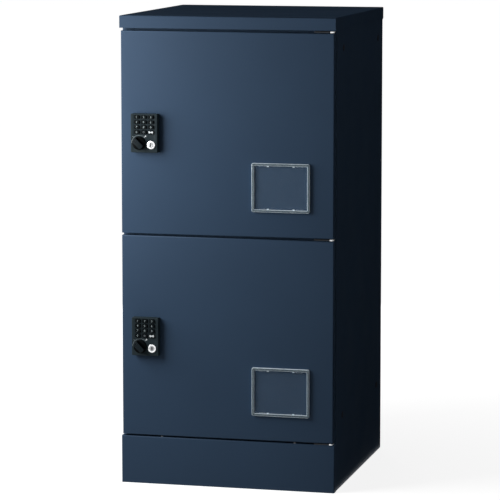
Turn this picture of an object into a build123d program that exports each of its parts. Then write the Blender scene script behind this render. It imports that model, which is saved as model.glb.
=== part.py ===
from build123d import *
import os

os.makedirs("parts", exist_ok=True)

# Overall size over the cap and the plinth, without what stands out of the doors.
# The origin is on the floor, in the middle of the footprint. The doors face -Y.
WIDTH = 480.0
DEPTH = 508.0
HEIGHT = 1030.0

# Heights and gaps of the front, from the floor up
PLINTH_HEIGHT = 105.0
GAP_BELOW_DOORS = 4.0
GAP_BETWEEN_DOORS = 5.0
GAP_ABOVE_DOORS = 6.0
CAP_HEIGHT = 27.0

# Sheet steel
BODY_SHEET = 1.2
CAP_SHEET = 1.0
DOOR_SHEET = 1.6
LINER_SHEET = 1.0
CHANNEL_SHEET = 2.0
BEND_RADIUS = 1.4
CAP_EDGE_RADIUS = 2.0
DOOR_EDGE_RADIUS = 2.2

# Fits between fixed pieces, and running play between moving ones
SEAT_GAP = 0.2
PLATE_PLAY = 0.25
SHAFT_PLAY = 0.05
HOLE_PLAY = 0.4
THROUGH = 1.0

# Cabinet
CAP_FIT = 0.2
CAP_RETURN = 14.0
STILE_WIDTH = 28.0
STILE_LIP = 12.0
REAR_FLANGE = 16.0
DOOR_LAP = 19.0
TRAY_FLANGE = 16.0
SHELF_FRONT_DROP = 38.0
FLOOR_FRONT_DROP = 70.0
PLINTH_RETURN = 15.0
PLINTH_TAB_WIDTH = 34.0
PLINTH_TAB_GAP = 2.2
PLINTH_TAB_FROM_MIDDLE = 150.0
CHANNEL_WIDTH = 40.0
CHANNEL_HEIGHT = 30.0
ANCHOR_HOLE_RADIUS = 6.0
ANCHOR_FROM_CHANNEL_END = 21.8
WALL_HOLE_RADIUS = 4.5
WALL_HOLE_SPACING = 300.0
WALL_HOLE_BELOW_TOP = 130.0

# Caps on the sides, over the points where cabinets are linked side by side
SIDE_CAP_RADIUS = 7.5
SIDE_CAP_FACETS = 16
SIDE_CAP_THICKNESS = 0.9
SIDE_CAP_FROM_FRONT = 86.0
SIDE_CAP_FROM_BACK = 55.0
SIDE_CAP_ABOVE_FLOOR = 157.5
SIDE_CAP_BELOW_TOP = 68.5

# Doors
DOOR_THICKNESS = 18.0
DOOR_SIDE_GAP = 3.0
DOOR_BACK_GAP = 2.0
DOOR_LIP = 12.0
BUMPER_SIZE = 8.0
BUMPER_GAP = 0.3
BUMPER_FROM_DOOR_SIDE = 6.5
BUMPER_FROM_DOOR_END = 32.0

# Pivots
PIN_RADIUS = 2.5
PIN_FROM_DOOR_SIDE = 5.3
PIN_BEHIND_MIDDLE = 0.5
PIN_ENGAGEMENT = 14.0
WASHER_RADIUS = 4.7
WASHER_THICKNESS = 1.0
BRACKET_THICKNESS = 2.5
BRACKET_REACH_LEFT = 39.5
BRACKET_REACH_RIGHT = 4.5
BRACKET_FRONT_REACH = 7.5
BRACKET_CORNER_BEVEL = 2.7
BRACKET_ROOT_WIDTH = 15.0
BRACKET_ROOT_DEPTH = 8.0
BRACKET_LEG = 16.0

# Lock on the door, its places counted from the housing's left and bottom edges
LOCK_WIDTH = 60.0
LOCK_HEIGHT = 84.0
LOCK_DEPTH = 15.0
LOCK_FROM_DOOR_SIDE = 26.0
LOCK_WALL = 2.4
LOCK_SIDE_WALL = 1.8
LOCK_CORNER_RADIUS = 2.0
LOCK_EDGE_BEVEL = 0.7
CASE_WALL = 1.5
CASE_EDGE_BEVEL = 1.5
CASE_COLLAR = 2.0
CASE_COLLAR_REACH = 3.0
CASE_ACCESS_MARGIN = 6.0

# Buttons
BUTTON_ROWS = 4
BUTTON_COLUMNS = 3
BUTTON_ROW_PITCH = 10.9
BUTTON_COLUMN_PITCH = 16.1
BUTTON_TOP_ROW_BELOW_EDGE = 6.9
BUTTON_WIDTH = 11.5
BUTTON_HEIGHT = 7.5
BUTTON_PROUD = 3.0
BUTTON_TRAVEL = 2.0
BUTTON_PLAY = 0.2
BUTTON_FLANGE = 0.9
BUTTON_FLANGE_THICKNESS = 1.4
BUTTON_STEM = 3.0
BUTTON_STEM_END_GAP = 0.6
BUTTON_EDGE_BEVEL = 0.5
BUTTON_NAMES = (
    ("1", "2", "3"),
    ("4", "5", "6"),
    ("7", "8", "9"),
    ("0", "set", "clear"),
)

# Knob with its spindle and cam
KNOB_FROM_SIDE = 19.0
KNOB_ABOVE_BOTTOM = 20.3
KNOB_RADIUS = 14.7
KNOB_DISC = 3.0
KNOB_PROUD = 15.0
KNOB_GRIP_WIDTH = 11.0
KNOB_GRIP_DRAFT = 1.4
KNOB_GRIP_TURN = -45.0
KNOB_EDGE_BEVEL = 1.0
KNOB_HUB_RADIUS = 6.0
KNOB_CORE_DEPTH = 9.0
SPINDLE_RADIUS = 4.0
CAM_THICKNESS = 3.0
CAM_WIDTH = 14.0
CAM_REACH = 26.0
CAM_CORNER_BEVEL = 3.0
CAM_NUT_RADIUS = 5.0
CAM_NUT_SIDES = 6
CAM_NUT_THICKNESS = 2.5
CAM_TO_STILE = 1.5
CAM_TO_CASE = 0.5

# Key cylinder
CYLINDER_FROM_SIDE = 46.4
CYLINDER_ABOVE_BOTTOM = 16.9
CYLINDER_BARREL_RADIUS = 7.6
CYLINDER_FLANGE = 1.7
CYLINDER_FACE = 3.0
CYLINDER_END_WALL = 3.0
PLUG_RADIUS = 5.4
PLUG_RECESS = 0.4
KEYWAY_WIDTH = 1.6
KEYWAY_HEIGHT = 7.0
KEYWAY_DEPTH = 22.0

# Label holder
HOLDER_WIDTH = 128.5
HOLDER_HEIGHT = 106.0
HOLDER_DEPTH = 6.0
HOLDER_FROM_DOOR_SIDE = 294.0
HOLDER_ABOVE_DOOR_BOTTOM = 55.0
HOLDER_RIM = 5.6
HOLDER_WINDOW_RECESS = 2.2
HOLDER_WINDOW = 1.6
HOLDER_CORNER_RADIUS = 4.0
HOLDER_EDGE_BEVEL = 1.1
HOLDER_TABS = ((17.0, 12.0), (33.5, 4.5))
HOLDER_TAB_REACH = 1.6
HOLDER_TAB_DEPTH = 1.2

# Places worked out from the sizes above
FRONT = -DEPTH / 2
BACK = DEPTH / 2
SIDE = WIDTH / 2
CAP_UNDERSIDE = HEIGHT - CAP_HEIGHT
DOOR_STACK = CAP_UNDERSIDE - GAP_ABOVE_DOORS - PLINTH_HEIGHT - GAP_BELOW_DOORS
DOOR_HEIGHT = (DOOR_STACK - GAP_BETWEEN_DOORS) / 2
LOWER_DOOR_BOTTOM = PLINTH_HEIGHT + GAP_BELOW_DOORS
UPPER_DOOR_BOTTOM = LOWER_DOOR_BOTTOM + DOOR_HEIGHT + GAP_BETWEEN_DOORS
UPPER_DOOR_TOP = UPPER_DOOR_BOTTOM + DOOR_HEIGHT
DOOR_SIDE = SIDE - DOOR_SIDE_GAP
DOOR_BACK = FRONT + DOOR_THICKNESS
BODY_FRONT = DOOR_BACK + DOOR_BACK_GAP
BODY_SIDE = SIDE - CAP_SHEET - CAP_FIT
BODY_BACK = BACK - CAP_SHEET - CAP_FIT
BODY_TOP = HEIGHT - CAP_SHEET - SEAT_GAP
INNER_SIDE = BODY_SIDE - BODY_SHEET
STILE_EDGE = BODY_SIDE - STILE_WIDTH
RAIL_SIDE = STILE_EDGE - SEAT_GAP
LIP_BACK = BODY_FRONT + STILE_LIP
TRAY_SIDE = INNER_SIDE - SEAT_GAP
BACK_PANEL_SIDE = INNER_SIDE - BEND_RADIUS
REAR_FLANGE_FRONT = BODY_BACK - BODY_SHEET
BACK_PANEL_FRONT = REAR_FLANGE_FRONT - BODY_SHEET
TRAY_BACK = BACK_PANEL_FRONT - SEAT_GAP
FLOOR_TOP = LOWER_DOOR_BOTTOM + DOOR_LAP
SHELF_TOP = UPPER_DOOR_BOTTOM + DOOR_LAP
CEILING_UNDERSIDE = UPPER_DOOR_TOP - DOOR_LAP
PIN_X = DOOR_SIDE - PIN_FROM_DOOR_SIDE
PIN_Y = FRONT + DOOR_THICKNESS / 2 + PIN_BEHIND_MIDDLE
BRACKET_STANDOFF = WASHER_THICKNESS + PLATE_PLAY
LOCK_FRONT = FRONT - LOCK_DEPTH
CASE_SIDE_INSET = LOCK_WIDTH - CYLINDER_FROM_SIDE - CYLINDER_BARREL_RADIUS - CASE_WALL
CASE_END_INSET = CYLINDER_ABOVE_BOTTOM - CYLINDER_BARREL_RADIUS - CASE_WALL
CYLINDER_FACE_RADIUS = CYLINDER_BARREL_RADIUS + CYLINDER_FLANGE
LOCK_LEFT = -DOOR_SIDE + LOCK_FROM_DOOR_SIDE
LOCK_RIGHT = LOCK_LEFT + LOCK_WIDTH
KNOB_X = LOCK_LEFT + KNOB_FROM_SIDE
CYLINDER_X = LOCK_LEFT + CYLINDER_FROM_SIDE
CAM_FRONT = LIP_BACK + CAM_TO_STILE
CASE_BACK = CAM_FRONT - CAM_TO_CASE
CHANNEL_FRONT = LIP_BACK + SEAT_GAP
ANCHOR_X = TRAY_SIDE - CHANNEL_WIDTH / 2
ANCHOR_Y = -CHANNEL_FRONT - ANCHOR_FROM_CHANNEL_END
LOCK_SKIN_BACK = FRONT + DOOR_SHEET
HOLDER_LEFT = -DOOR_SIDE + HOLDER_FROM_DOOR_SIDE


def block(x_low, x_high, y_low, y_high, z_low, z_high):
    """A box between two corners."""
    middle = Pos((x_low + x_high) / 2, (y_low + y_high) / 2, (z_low + z_high) / 2)
    return middle * Box(x_high - x_low, y_high - y_low, z_high - z_low)


def rod_y(x, y_low, y_high, z, radius):
    """A round bar along Y."""
    place = Pos(x, (y_low + y_high) / 2, z) * Rot(90, 0, 0)
    return place * Cylinder(radius, y_high - y_low)


def rod_z(x, y, z_low, z_high, radius):
    """A round bar along Z."""
    return Pos(x, y, (z_low + z_high) / 2) * Cylinder(radius, z_high - z_low)


def bent_strip(corners, thickness):
    """The section of a folded sheet whose middle line runs through the corners."""
    middle_line = FilletPolyline(*corners, radius=BEND_RADIUS)
    return trace(middle_line, line_width=thickness)


def together(solids):
    """Separate solids that share one node."""
    return Compound(children=list(solids))


def side_panel():
    """The left side: web, front stile with its lip, and rear flange, folded from one sheet."""
    half = BODY_SHEET / 2
    section = bent_strip(
        (
            (-STILE_EDGE - half, LIP_BACK),
            (-STILE_EDGE - half, BODY_FRONT + half),
            (-BODY_SIDE + half, BODY_FRONT + half),
            (-BODY_SIDE + half, BODY_BACK - half),
            (-BODY_SIDE + REAR_FLANGE, BODY_BACK - half),
        ),
        BODY_SHEET,
    )
    return extrude(section, BODY_TOP)


def side_caps():
    """The flat caps of both sides. The sheet behind them is whole, to be drilled when needed."""
    outline = Plane.YZ * RegularPolygon(SIDE_CAP_RADIUS, SIDE_CAP_FACETS)
    cap = extrude(outline, SIDE_CAP_THICKNESS)
    caps = []
    for x in (-BODY_SIDE - SIDE_CAP_THICKNESS, BODY_SIDE):
        for y in (FRONT + SIDE_CAP_FROM_FRONT, BACK - SIDE_CAP_FROM_BACK):
            for z in (SIDE_CAP_ABOVE_FLOOR, HEIGHT - SIDE_CAP_BELOW_TOP):
                caps.append(Pos(x, y, z) * cap)
    return together(caps)


def tray(sheet_low, front_low, front_high, flange_side):
    """A folded tray: a level sheet notched round the stiles, with a front rail and three flanges.

    flange_side is 1 where the flanges stand up from the sheet and -1 where they hang down.
    """
    sheet_high = sheet_low + BODY_SHEET
    notch = LIP_BACK + SEAT_GAP
    level = block(-TRAY_SIDE, TRAY_SIDE, notch, TRAY_BACK, sheet_low, sheet_high)
    level += block(-RAIL_SIDE, RAIL_SIDE, BODY_FRONT, notch, sheet_low, sheet_high)
    rail = block(-RAIL_SIDE, RAIL_SIDE, BODY_FRONT, BODY_FRONT + BODY_SHEET, front_low, front_high)
    if flange_side > 0:
        flange_low, flange_high = sheet_low, sheet_high + TRAY_FLANGE
    else:
        flange_low, flange_high = sheet_low - TRAY_FLANGE, sheet_high
    shape = level + rail
    for side in (-1, 1):
        near, far = sorted((side * (TRAY_SIDE - BODY_SHEET), side * TRAY_SIDE))
        shape += block(near, far, notch, TRAY_BACK, flange_low, flange_high)
    shape += block(
        -TRAY_SIDE, TRAY_SIDE, TRAY_BACK - BODY_SHEET, TRAY_BACK, flange_low, flange_high
    )
    return shape


def bracket_slot(low):
    """The slot through a front rail that a hinge bracket's root passes."""
    left = PIN_X - BRACKET_REACH_LEFT
    return block(
        left - SEAT_GAP,
        left + BRACKET_ROOT_WIDTH + SEAT_GAP,
        BODY_FRONT - THROUGH,
        BODY_FRONT + BODY_SHEET + THROUGH,
        low - SEAT_GAP,
        low + BRACKET_THICKNESS + SEAT_GAP,
    )


def bracket_levels():
    """The underside of the lower, middle and upper hinge bracket."""
    lower = LOWER_DOOR_BOTTOM - BRACKET_STANDOFF - BRACKET_THICKNESS
    middle = UPPER_DOOR_BOTTOM - (GAP_BETWEEN_DOORS + BRACKET_THICKNESS) / 2
    upper = UPPER_DOOR_TOP + BRACKET_STANDOFF
    return lower, middle, upper


def ceiling_panel():
    """The top of the upper compartment, its front rail closing the space under the cap."""
    panel = tray(CEILING_UNDERSIDE, CEILING_UNDERSIDE, BODY_TOP - SEAT_GAP, 1)
    return panel - bracket_slot(bracket_levels()[2])


def middle_shelf():
    """The sheet between the compartments, with the rail that both doors close on."""
    low = SHELF_TOP - BODY_SHEET
    panel = tray(low, SHELF_TOP - SHELF_FRONT_DROP - GAP_BETWEEN_DOORS, SHELF_TOP, -1)
    return panel - bracket_slot(bracket_levels()[1])


def floor_panel():
    """The bottom of the lower compartment, with two tongues that carry the plinth cover."""
    panel = tray(FLOOR_TOP - BODY_SHEET, FLOOR_TOP - FLOOR_FRONT_DROP, FLOOR_TOP, -1)
    panel -= bracket_slot(bracket_levels()[0])
    tongue_top = PLINTH_HEIGHT - BODY_SHEET
    for x in (-PLINTH_TAB_FROM_MIDDLE, PLINTH_TAB_FROM_MIDDLE):
        panel += block(
            x - PLINTH_TAB_WIDTH / 2,
            x + PLINTH_TAB_WIDTH / 2,
            FRONT + BODY_SHEET + PLINTH_TAB_GAP,
            BODY_FRONT,
            tongue_top - BODY_SHEET,
            tongue_top,
        )
    return panel


def plinth_cover():
    """The folded cover under the lower door, with a ledge and inward side flanges."""
    back = BODY_FRONT - SEAT_GAP
    outer = block(-SIDE, SIDE, FRONT, back, 0, PLINTH_HEIGHT)
    top_edge = outer.edges().filter_by(Axis.X).group_by(Axis.Y)[0].sort_by(Axis.Z)[-1]
    side_edges = outer.edges().filter_by(Axis.Z).group_by(Axis.Y)[0]
    outer = fillet(ShapeList([top_edge, *side_edges]), CAP_EDGE_RADIUS)
    hollow = block(
        -SIDE + BODY_SHEET,
        SIDE - BODY_SHEET,
        FRONT + BODY_SHEET,
        back + THROUGH,
        -THROUGH,
        PLINTH_HEIGHT - BODY_SHEET,
    )
    cover = outer - hollow
    for side in (-1, 1):
        near, far = sorted((side * (SIDE - PLINTH_RETURN), side * (SIDE - BODY_SHEET / 2)))
        cover += block(near, far, back - BODY_SHEET, back, 0, PLINTH_HEIGHT - BODY_SHEET / 2)
    return cover


def top_cap():
    """A tray turned over the body, with a skirt all round and a return along the front."""
    outer = block(-SIDE, SIDE, FRONT, BACK, CAP_UNDERSIDE, HEIGHT)
    outer = fillet(outer.faces().sort_by(Axis.Z)[-1].edges(), CAP_EDGE_RADIUS)
    hollow = block(
        -SIDE + CAP_SHEET,
        SIDE - CAP_SHEET,
        FRONT + CAP_SHEET,
        BACK - CAP_SHEET,
        CAP_UNDERSIDE - THROUGH,
        HEIGHT - CAP_SHEET,
    )
    cap = outer - hollow
    cap += block(
        -SIDE + CAP_SHEET,
        SIDE - CAP_SHEET,
        FRONT + CAP_SHEET / 2,
        FRONT + CAP_RETURN,
        CAP_UNDERSIDE,
        CAP_UNDERSIDE + CAP_SHEET,
    )
    return cap


def back_panel():
    """The flat rear sheet, with the wall fixing holes."""
    low_side, high_side = -BACK_PANEL_SIDE, BACK_PANEL_SIDE
    panel = block(low_side, high_side, BACK_PANEL_FRONT, REAR_FLANGE_FRONT, 0, BODY_TOP - SEAT_GAP)
    span = (BACK_PANEL_FRONT - THROUGH, REAR_FLANGE_FRONT + THROUGH)
    hole_height = HEIGHT - WALL_HOLE_BELOW_TOP
    for side in (-1, 1):
        panel -= rod_y(side * WALL_HOLE_SPACING / 2, *span, hole_height, WALL_HOLE_RADIUS)
    return panel


def base_channels():
    """Two channels along the bottom of the sides, with the floor anchor holes."""
    channels = []
    for side in (-1, 1):
        near, far = sorted((side * (TRAY_SIDE - CHANNEL_WIDTH), side * TRAY_SIDE))
        channel = block(near, far, CHANNEL_FRONT, TRAY_BACK, 0, CHANNEL_HEIGHT)
        channel -= block(
            near + CHANNEL_SHEET,
            far - CHANNEL_SHEET,
            CHANNEL_FRONT - THROUGH,
            TRAY_BACK + THROUGH,
            CHANNEL_SHEET,
            CHANNEL_HEIGHT + THROUGH,
        )
        for y in (-ANCHOR_Y, ANCHOR_Y):
            channel -= rod_z(side * ANCHOR_X, y, -THROUGH, CHANNEL_SHEET + THROUGH, ANCHOR_HOLE_RADIUS)
        channels.append(channel)
    return together(channels)


def hinge_brackets():
    """Three plates that carry the pivots, each with a root through the rail and a leg behind it."""
    brackets = []
    left = PIN_X - BRACKET_REACH_LEFT
    right = PIN_X + BRACKET_REACH_RIGHT
    root_right = left + BRACKET_ROOT_WIDTH
    root_back = BODY_FRONT + BODY_SHEET + BRACKET_ROOT_DEPTH
    for low in bracket_levels():
        high = low + BRACKET_THICKNESS
        plate = block(left, right, PIN_Y - BRACKET_FRONT_REACH, BODY_FRONT - SEAT_GAP, low, high)
        front_corners = plate.edges().filter_by(Axis.Z).group_by(Axis.Y)[0]
        plate = chamfer(front_corners, BRACKET_CORNER_BEVEL)
        plate += block(left, root_right, BODY_FRONT - SEAT_GAP, root_back, low, high)
        leg_front = BODY_FRONT + BODY_SHEET
        plate += block(
            left, root_right, leg_front, leg_front + BRACKET_THICKNESS, low - BRACKET_LEG, low
        )
        plate -= rod_z(PIN_X, PIN_Y, low - THROUGH, high + THROUGH, PIN_RADIUS + SHAFT_PLAY)
        brackets.append(plate)
    return together(brackets)


def hinge_pins():
    """Three steel pins: into the lower door, through both doors, and into the upper door."""
    lower, middle, upper = bracket_levels()
    spans = (
        (lower, LOWER_DOOR_BOTTOM + PIN_ENGAGEMENT),
        (middle - BRACKET_STANDOFF - PIN_ENGAGEMENT, UPPER_DOOR_BOTTOM + PIN_ENGAGEMENT),
        (UPPER_DOOR_TOP - PIN_ENGAGEMENT, upper + BRACKET_THICKNESS),
    )
    return together([rod_z(PIN_X, PIN_Y, low, high, PIN_RADIUS) for low, high in spans])


def door_bumpers():
    """Square rubber pads on the closing stile, two behind each door."""
    x = -DOOR_SIDE + BUMPER_FROM_DOOR_SIDE
    half = BUMPER_SIZE / 2
    bumpers = []
    for bottom in (LOWER_DOOR_BOTTOM, UPPER_DOOR_BOTTOM):
        for z in (bottom + BUMPER_FROM_DOOR_END, bottom + DOOR_HEIGHT - BUMPER_FROM_DOOR_END):
            pad = (x - half, x + half, DOOR_BACK + BUMPER_GAP, BODY_FRONT, z - half, z + half)
            bumpers.append(block(*pad))
    return together(bumpers)


def door_skin(bottom):
    """The folded front of a door: face, returns on four sides and a lip round the back."""
    top = bottom + DOOR_HEIGHT
    skin = block(-DOOR_SIDE, DOOR_SIDE, FRONT, DOOR_BACK, bottom, top)
    skin = fillet(skin.faces().sort_by(Axis.Y)[0].edges(), DOOR_EDGE_RADIUS)
    skin -= block(
        -DOOR_SIDE + DOOR_SHEET,
        DOOR_SIDE - DOOR_SHEET,
        FRONT + DOOR_SHEET,
        DOOR_BACK - DOOR_SHEET,
        bottom + DOOR_SHEET,
        top - DOOR_SHEET,
    )
    skin -= block(
        -DOOR_SIDE + DOOR_LIP,
        DOOR_SIDE - DOOR_LIP,
        DOOR_BACK - DOOR_SHEET - THROUGH,
        DOOR_BACK + THROUGH,
        bottom + DOOR_LIP,
        top - DOOR_LIP,
    )
    for low in (bottom, top - DOOR_SHEET):
        span = (low - THROUGH, low + DOOR_SHEET + THROUGH)
        skin -= rod_z(PIN_X, PIN_Y, *span, PIN_RADIUS + SHAFT_PLAY)
    return skin - lock_case_outline(bottom, FRONT - THROUGH, LOCK_SKIN_BACK + THROUGH, SEAT_GAP)


def lock_case_outline(bottom, y_low, y_high, margin):
    """A block with the lock case's width and height, wider by a margin all round."""
    low = lock_bottom(bottom)
    return block(
        LOCK_LEFT + CASE_SIDE_INSET - margin,
        LOCK_RIGHT - CASE_SIDE_INSET + margin,
        y_low,
        y_high,
        low + CASE_END_INSET - margin,
        low + LOCK_HEIGHT - CASE_END_INSET + margin,
    )


def door_inner_panel(bottom):
    """The flat sheet inside the door's rear lip, cut out round the lock case."""
    rim = DOOR_SHEET + SEAT_GAP
    front = DOOR_BACK - DOOR_SHEET - LINER_SHEET
    panel = block(
        -DOOR_SIDE + rim,
        DOOR_SIDE - rim,
        front,
        front + LINER_SHEET,
        bottom + rim,
        bottom + DOOR_HEIGHT - rim,
    )
    span = (front - THROUGH, front + LINER_SHEET + THROUGH)
    access = lock_case_outline(bottom, *span, CASE_ACCESS_MARGIN)
    return panel - access


def pivot_washers(bottom):
    """The white washers round the pins, on the top and bottom edge of a door."""
    washers = []
    for low in (bottom - WASHER_THICKNESS, bottom + DOOR_HEIGHT):
        span = (low, low + WASHER_THICKNESS)
        washer = rod_z(PIN_X, PIN_Y, *span, WASHER_RADIUS)
        washers.append(washer - rod_z(PIN_X, PIN_Y, *span, PIN_RADIUS + SHAFT_PLAY))
    return together(washers)


def lock_bottom(bottom):
    """Z of the lock housing's lower edge: the lock sits halfway up its door."""
    return bottom + (DOOR_HEIGHT - LOCK_HEIGHT) / 2


def button_places(bottom):
    """Name, X and Z of each button, row by row from the top left."""
    places = []
    middle = LOCK_LEFT + LOCK_WIDTH / 2
    top_row = lock_bottom(bottom) + LOCK_HEIGHT - BUTTON_TOP_ROW_BELOW_EDGE
    for row in range(BUTTON_ROWS):
        for column in range(BUTTON_COLUMNS):
            x = middle + (column - (BUTTON_COLUMNS - 1) / 2) * BUTTON_COLUMN_PITCH
            z = top_row - row * BUTTON_ROW_PITCH
            places.append((BUTTON_NAMES[row][column], x, z))
    return places


def lock_housing(bottom):
    """The moulded shell on the door's face, with openings for what moves."""
    low = lock_bottom(bottom)
    high = low + LOCK_HEIGHT
    shell = block(LOCK_LEFT, LOCK_RIGHT, LOCK_FRONT, FRONT, low, high)
    shell = fillet(shell.edges().filter_by(Axis.Y), LOCK_CORNER_RADIUS)
    shell = chamfer(shell.faces().sort_by(Axis.Y)[0].edges(), LOCK_EDGE_BEVEL)
    shell -= block(
        LOCK_LEFT + LOCK_SIDE_WALL,
        LOCK_RIGHT - LOCK_SIDE_WALL,
        LOCK_FRONT + LOCK_WALL,
        FRONT + THROUGH,
        low + LOCK_SIDE_WALL,
        high - LOCK_SIDE_WALL,
    )
    front_wall = (LOCK_FRONT - THROUGH, LOCK_FRONT + LOCK_WALL + THROUGH)
    for _, x, z in button_places(bottom):
        opening = block(
            x - BUTTON_WIDTH / 2 - BUTTON_PLAY,
            x + BUTTON_WIDTH / 2 + BUTTON_PLAY,
            *front_wall,
            z - BUTTON_HEIGHT / 2 - BUTTON_PLAY,
            z + BUTTON_HEIGHT / 2 + BUTTON_PLAY,
        )
        shell -= opening
    through = (LOCK_FRONT - THROUGH, FRONT + THROUGH)
    shell -= rod_y(KNOB_X, *through, low + KNOB_ABOVE_BOTTOM, KNOB_HUB_RADIUS + HOLE_PLAY)
    barrel = CYLINDER_BARREL_RADIUS + SEAT_GAP
    shell -= rod_y(CYLINDER_X, *through, low + CYLINDER_ABOVE_BOTTOM, barrel)
    return shell


def lock_case(bottom):
    """The closed mechanism case, held by its collar behind the door's face."""
    low = lock_bottom(bottom)
    case = lock_case_outline(bottom, FRONT, CASE_BACK, 0)
    case = chamfer(case.faces().sort_by(Axis.Y)[-1].edges(), CASE_EDGE_BEVEL)
    collar_front = LOCK_SKIN_BACK
    case += lock_case_outline(bottom, collar_front, collar_front + CASE_COLLAR, CASE_COLLAR_REACH)
    spindle = SPINDLE_RADIUS + SHAFT_PLAY
    front = FRONT - THROUGH
    case -= rod_y(KNOB_X, front, CASE_BACK + THROUGH, low + KNOB_ABOVE_BOTTOM, spindle)
    bore_end = CASE_BACK - CYLINDER_END_WALL
    barrel = CYLINDER_BARREL_RADIUS + SEAT_GAP
    case -= rod_y(CYLINDER_X, front, bore_end, low + CYLINDER_ABOVE_BOTTOM, barrel)
    return case


def button(x, z):
    """One push button: a bevelled cap, the flange that keeps it in, and its square stem."""
    cap_front = LOCK_FRONT - BUTTON_PROUD
    flange_front = LOCK_FRONT + LOCK_WALL + BUTTON_PLAY
    flange_back = flange_front + BUTTON_FLANGE_THICKNESS
    half_width = BUTTON_WIDTH / 2
    half_height = BUTTON_HEIGHT / 2
    cap = block(
        x - half_width, x + half_width, cap_front, flange_front, z - half_height, z + half_height
    )
    cap = chamfer(cap.faces().sort_by(Axis.Y)[0].edges(), BUTTON_EDGE_BEVEL)
    cap += block(
        x - half_width - BUTTON_FLANGE,
        x + half_width + BUTTON_FLANGE,
        flange_front,
        flange_back,
        z - half_height - BUTTON_FLANGE,
        z + half_height + BUTTON_FLANGE,
    )
    stem_end = FRONT - BUTTON_TRAVEL - BUTTON_STEM_END_GAP
    half_stem = BUTTON_STEM / 2
    stem = (x - half_stem, x + half_stem, flange_back, stem_end, z - half_stem, z + half_stem)
    return cap + block(*stem)


def knob(bottom):
    """The turning knob: a round disc, and a tapered grip bar that points up and left."""
    z = lock_bottom(bottom) + KNOB_ABOVE_BOTTOM
    disc_back = LOCK_FRONT - PLATE_PLAY
    disc_front = disc_back - KNOB_DISC
    front = LOCK_FRONT - KNOB_PROUD
    disc = rod_y(KNOB_X, disc_front, disc_back, z, KNOB_RADIUS)
    foot_width = KNOB_GRIP_WIDTH + 2 * KNOB_GRIP_DRAFT
    uncut_length = 4 * KNOB_RADIUS
    foot_face = Plane.XZ.offset(-disc_front) * Rectangle(foot_width, uncut_length)
    top_face = Plane.XZ.offset(-front) * Rectangle(KNOB_GRIP_WIDTH, uncut_length)
    bar = loft((foot_face, top_face))
    bar &= rod_y(0, front - THROUGH, disc_front + THROUGH, 0, KNOB_RADIUS - KNOB_EDGE_BEVEL)
    bar = chamfer(bar.faces().sort_by(Axis.Y)[0].edges(), KNOB_EDGE_BEVEL)
    bar = Pos(KNOB_X, 0, z) * Rot(0, KNOB_GRIP_TURN, 0) * bar
    hub = rod_y(KNOB_X, disc_back, LOCK_FRONT + LOCK_WALL, z, KNOB_HUB_RADIUS)
    core_end = disc_front - KNOB_CORE_DEPTH
    core = rod_y(KNOB_X, core_end, LOCK_FRONT + LOCK_WALL, z, SPINDLE_RADIUS + SHAFT_PLAY)
    return disc + bar + hub - core


def cam(bottom):
    """Spindle, with the cam that hangs down when open and turns behind the stile when locked."""
    z = lock_bottom(bottom) + KNOB_ABOVE_BOTTOM
    spindle_front = LOCK_FRONT - PLATE_PLAY - KNOB_DISC - KNOB_CORE_DEPTH + SEAT_GAP
    cam_back = CAM_FRONT + CAM_THICKNESS
    spindle = rod_y(KNOB_X, spindle_front, cam_back, z, SPINDLE_RADIUS)
    half_width = CAM_WIDTH / 2
    plate = block(
        KNOB_X - half_width, KNOB_X + half_width, CAM_FRONT, cam_back, z - CAM_REACH, z + half_width
    )
    plate = chamfer(plate.edges().filter_by(Axis.Y), CAM_CORNER_BEVEL)
    nut = RegularPolygon(CAM_NUT_RADIUS, CAM_NUT_SIDES)
    nut = extrude(Plane.XZ * nut, -CAM_NUT_THICKNESS)
    nut = Pos(KNOB_X, cam_back - nut.bounding_box().min.Y, z) * nut
    return spindle + plate + nut


def cylinder_body(bottom):
    """The bright lock cylinder: a face ring and a barrel with a blind bore for the plug."""
    z = lock_bottom(bottom) + CYLINDER_ABOVE_BOTTOM
    face_front = LOCK_FRONT - CYLINDER_FACE
    barrel_end = CASE_BACK - CYLINDER_END_WALL - SEAT_GAP
    ring = rod_y(CYLINDER_X, face_front, LOCK_FRONT, z, CYLINDER_FACE_RADIUS)
    barrel = rod_y(CYLINDER_X, LOCK_FRONT, barrel_end, z, CYLINDER_BARREL_RADIUS)
    bore_end = barrel_end - CYLINDER_END_WALL
    bore = rod_y(CYLINDER_X, face_front - THROUGH, bore_end, z, PLUG_RADIUS + SHAFT_PLAY)
    return ring + barrel - bore


def key_plug(bottom):
    """The part of the cylinder that turns with the key, with its upright keyway."""
    z = lock_bottom(bottom) + CYLINDER_ABOVE_BOTTOM
    front = LOCK_FRONT - CYLINDER_FACE + PLUG_RECESS
    end = CASE_BACK - 2 * CYLINDER_END_WALL - SEAT_GAP - PLATE_PLAY
    plug = rod_y(CYLINDER_X, front, end, z, PLUG_RADIUS)
    keyway = block(
        CYLINDER_X - KEYWAY_WIDTH / 2,
        CYLINDER_X + KEYWAY_WIDTH / 2,
        front - THROUGH,
        front + KEYWAY_DEPTH,
        z - KEYWAY_HEIGHT / 2,
        z + KEYWAY_HEIGHT / 2,
    )
    return plug - keyway


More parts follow.
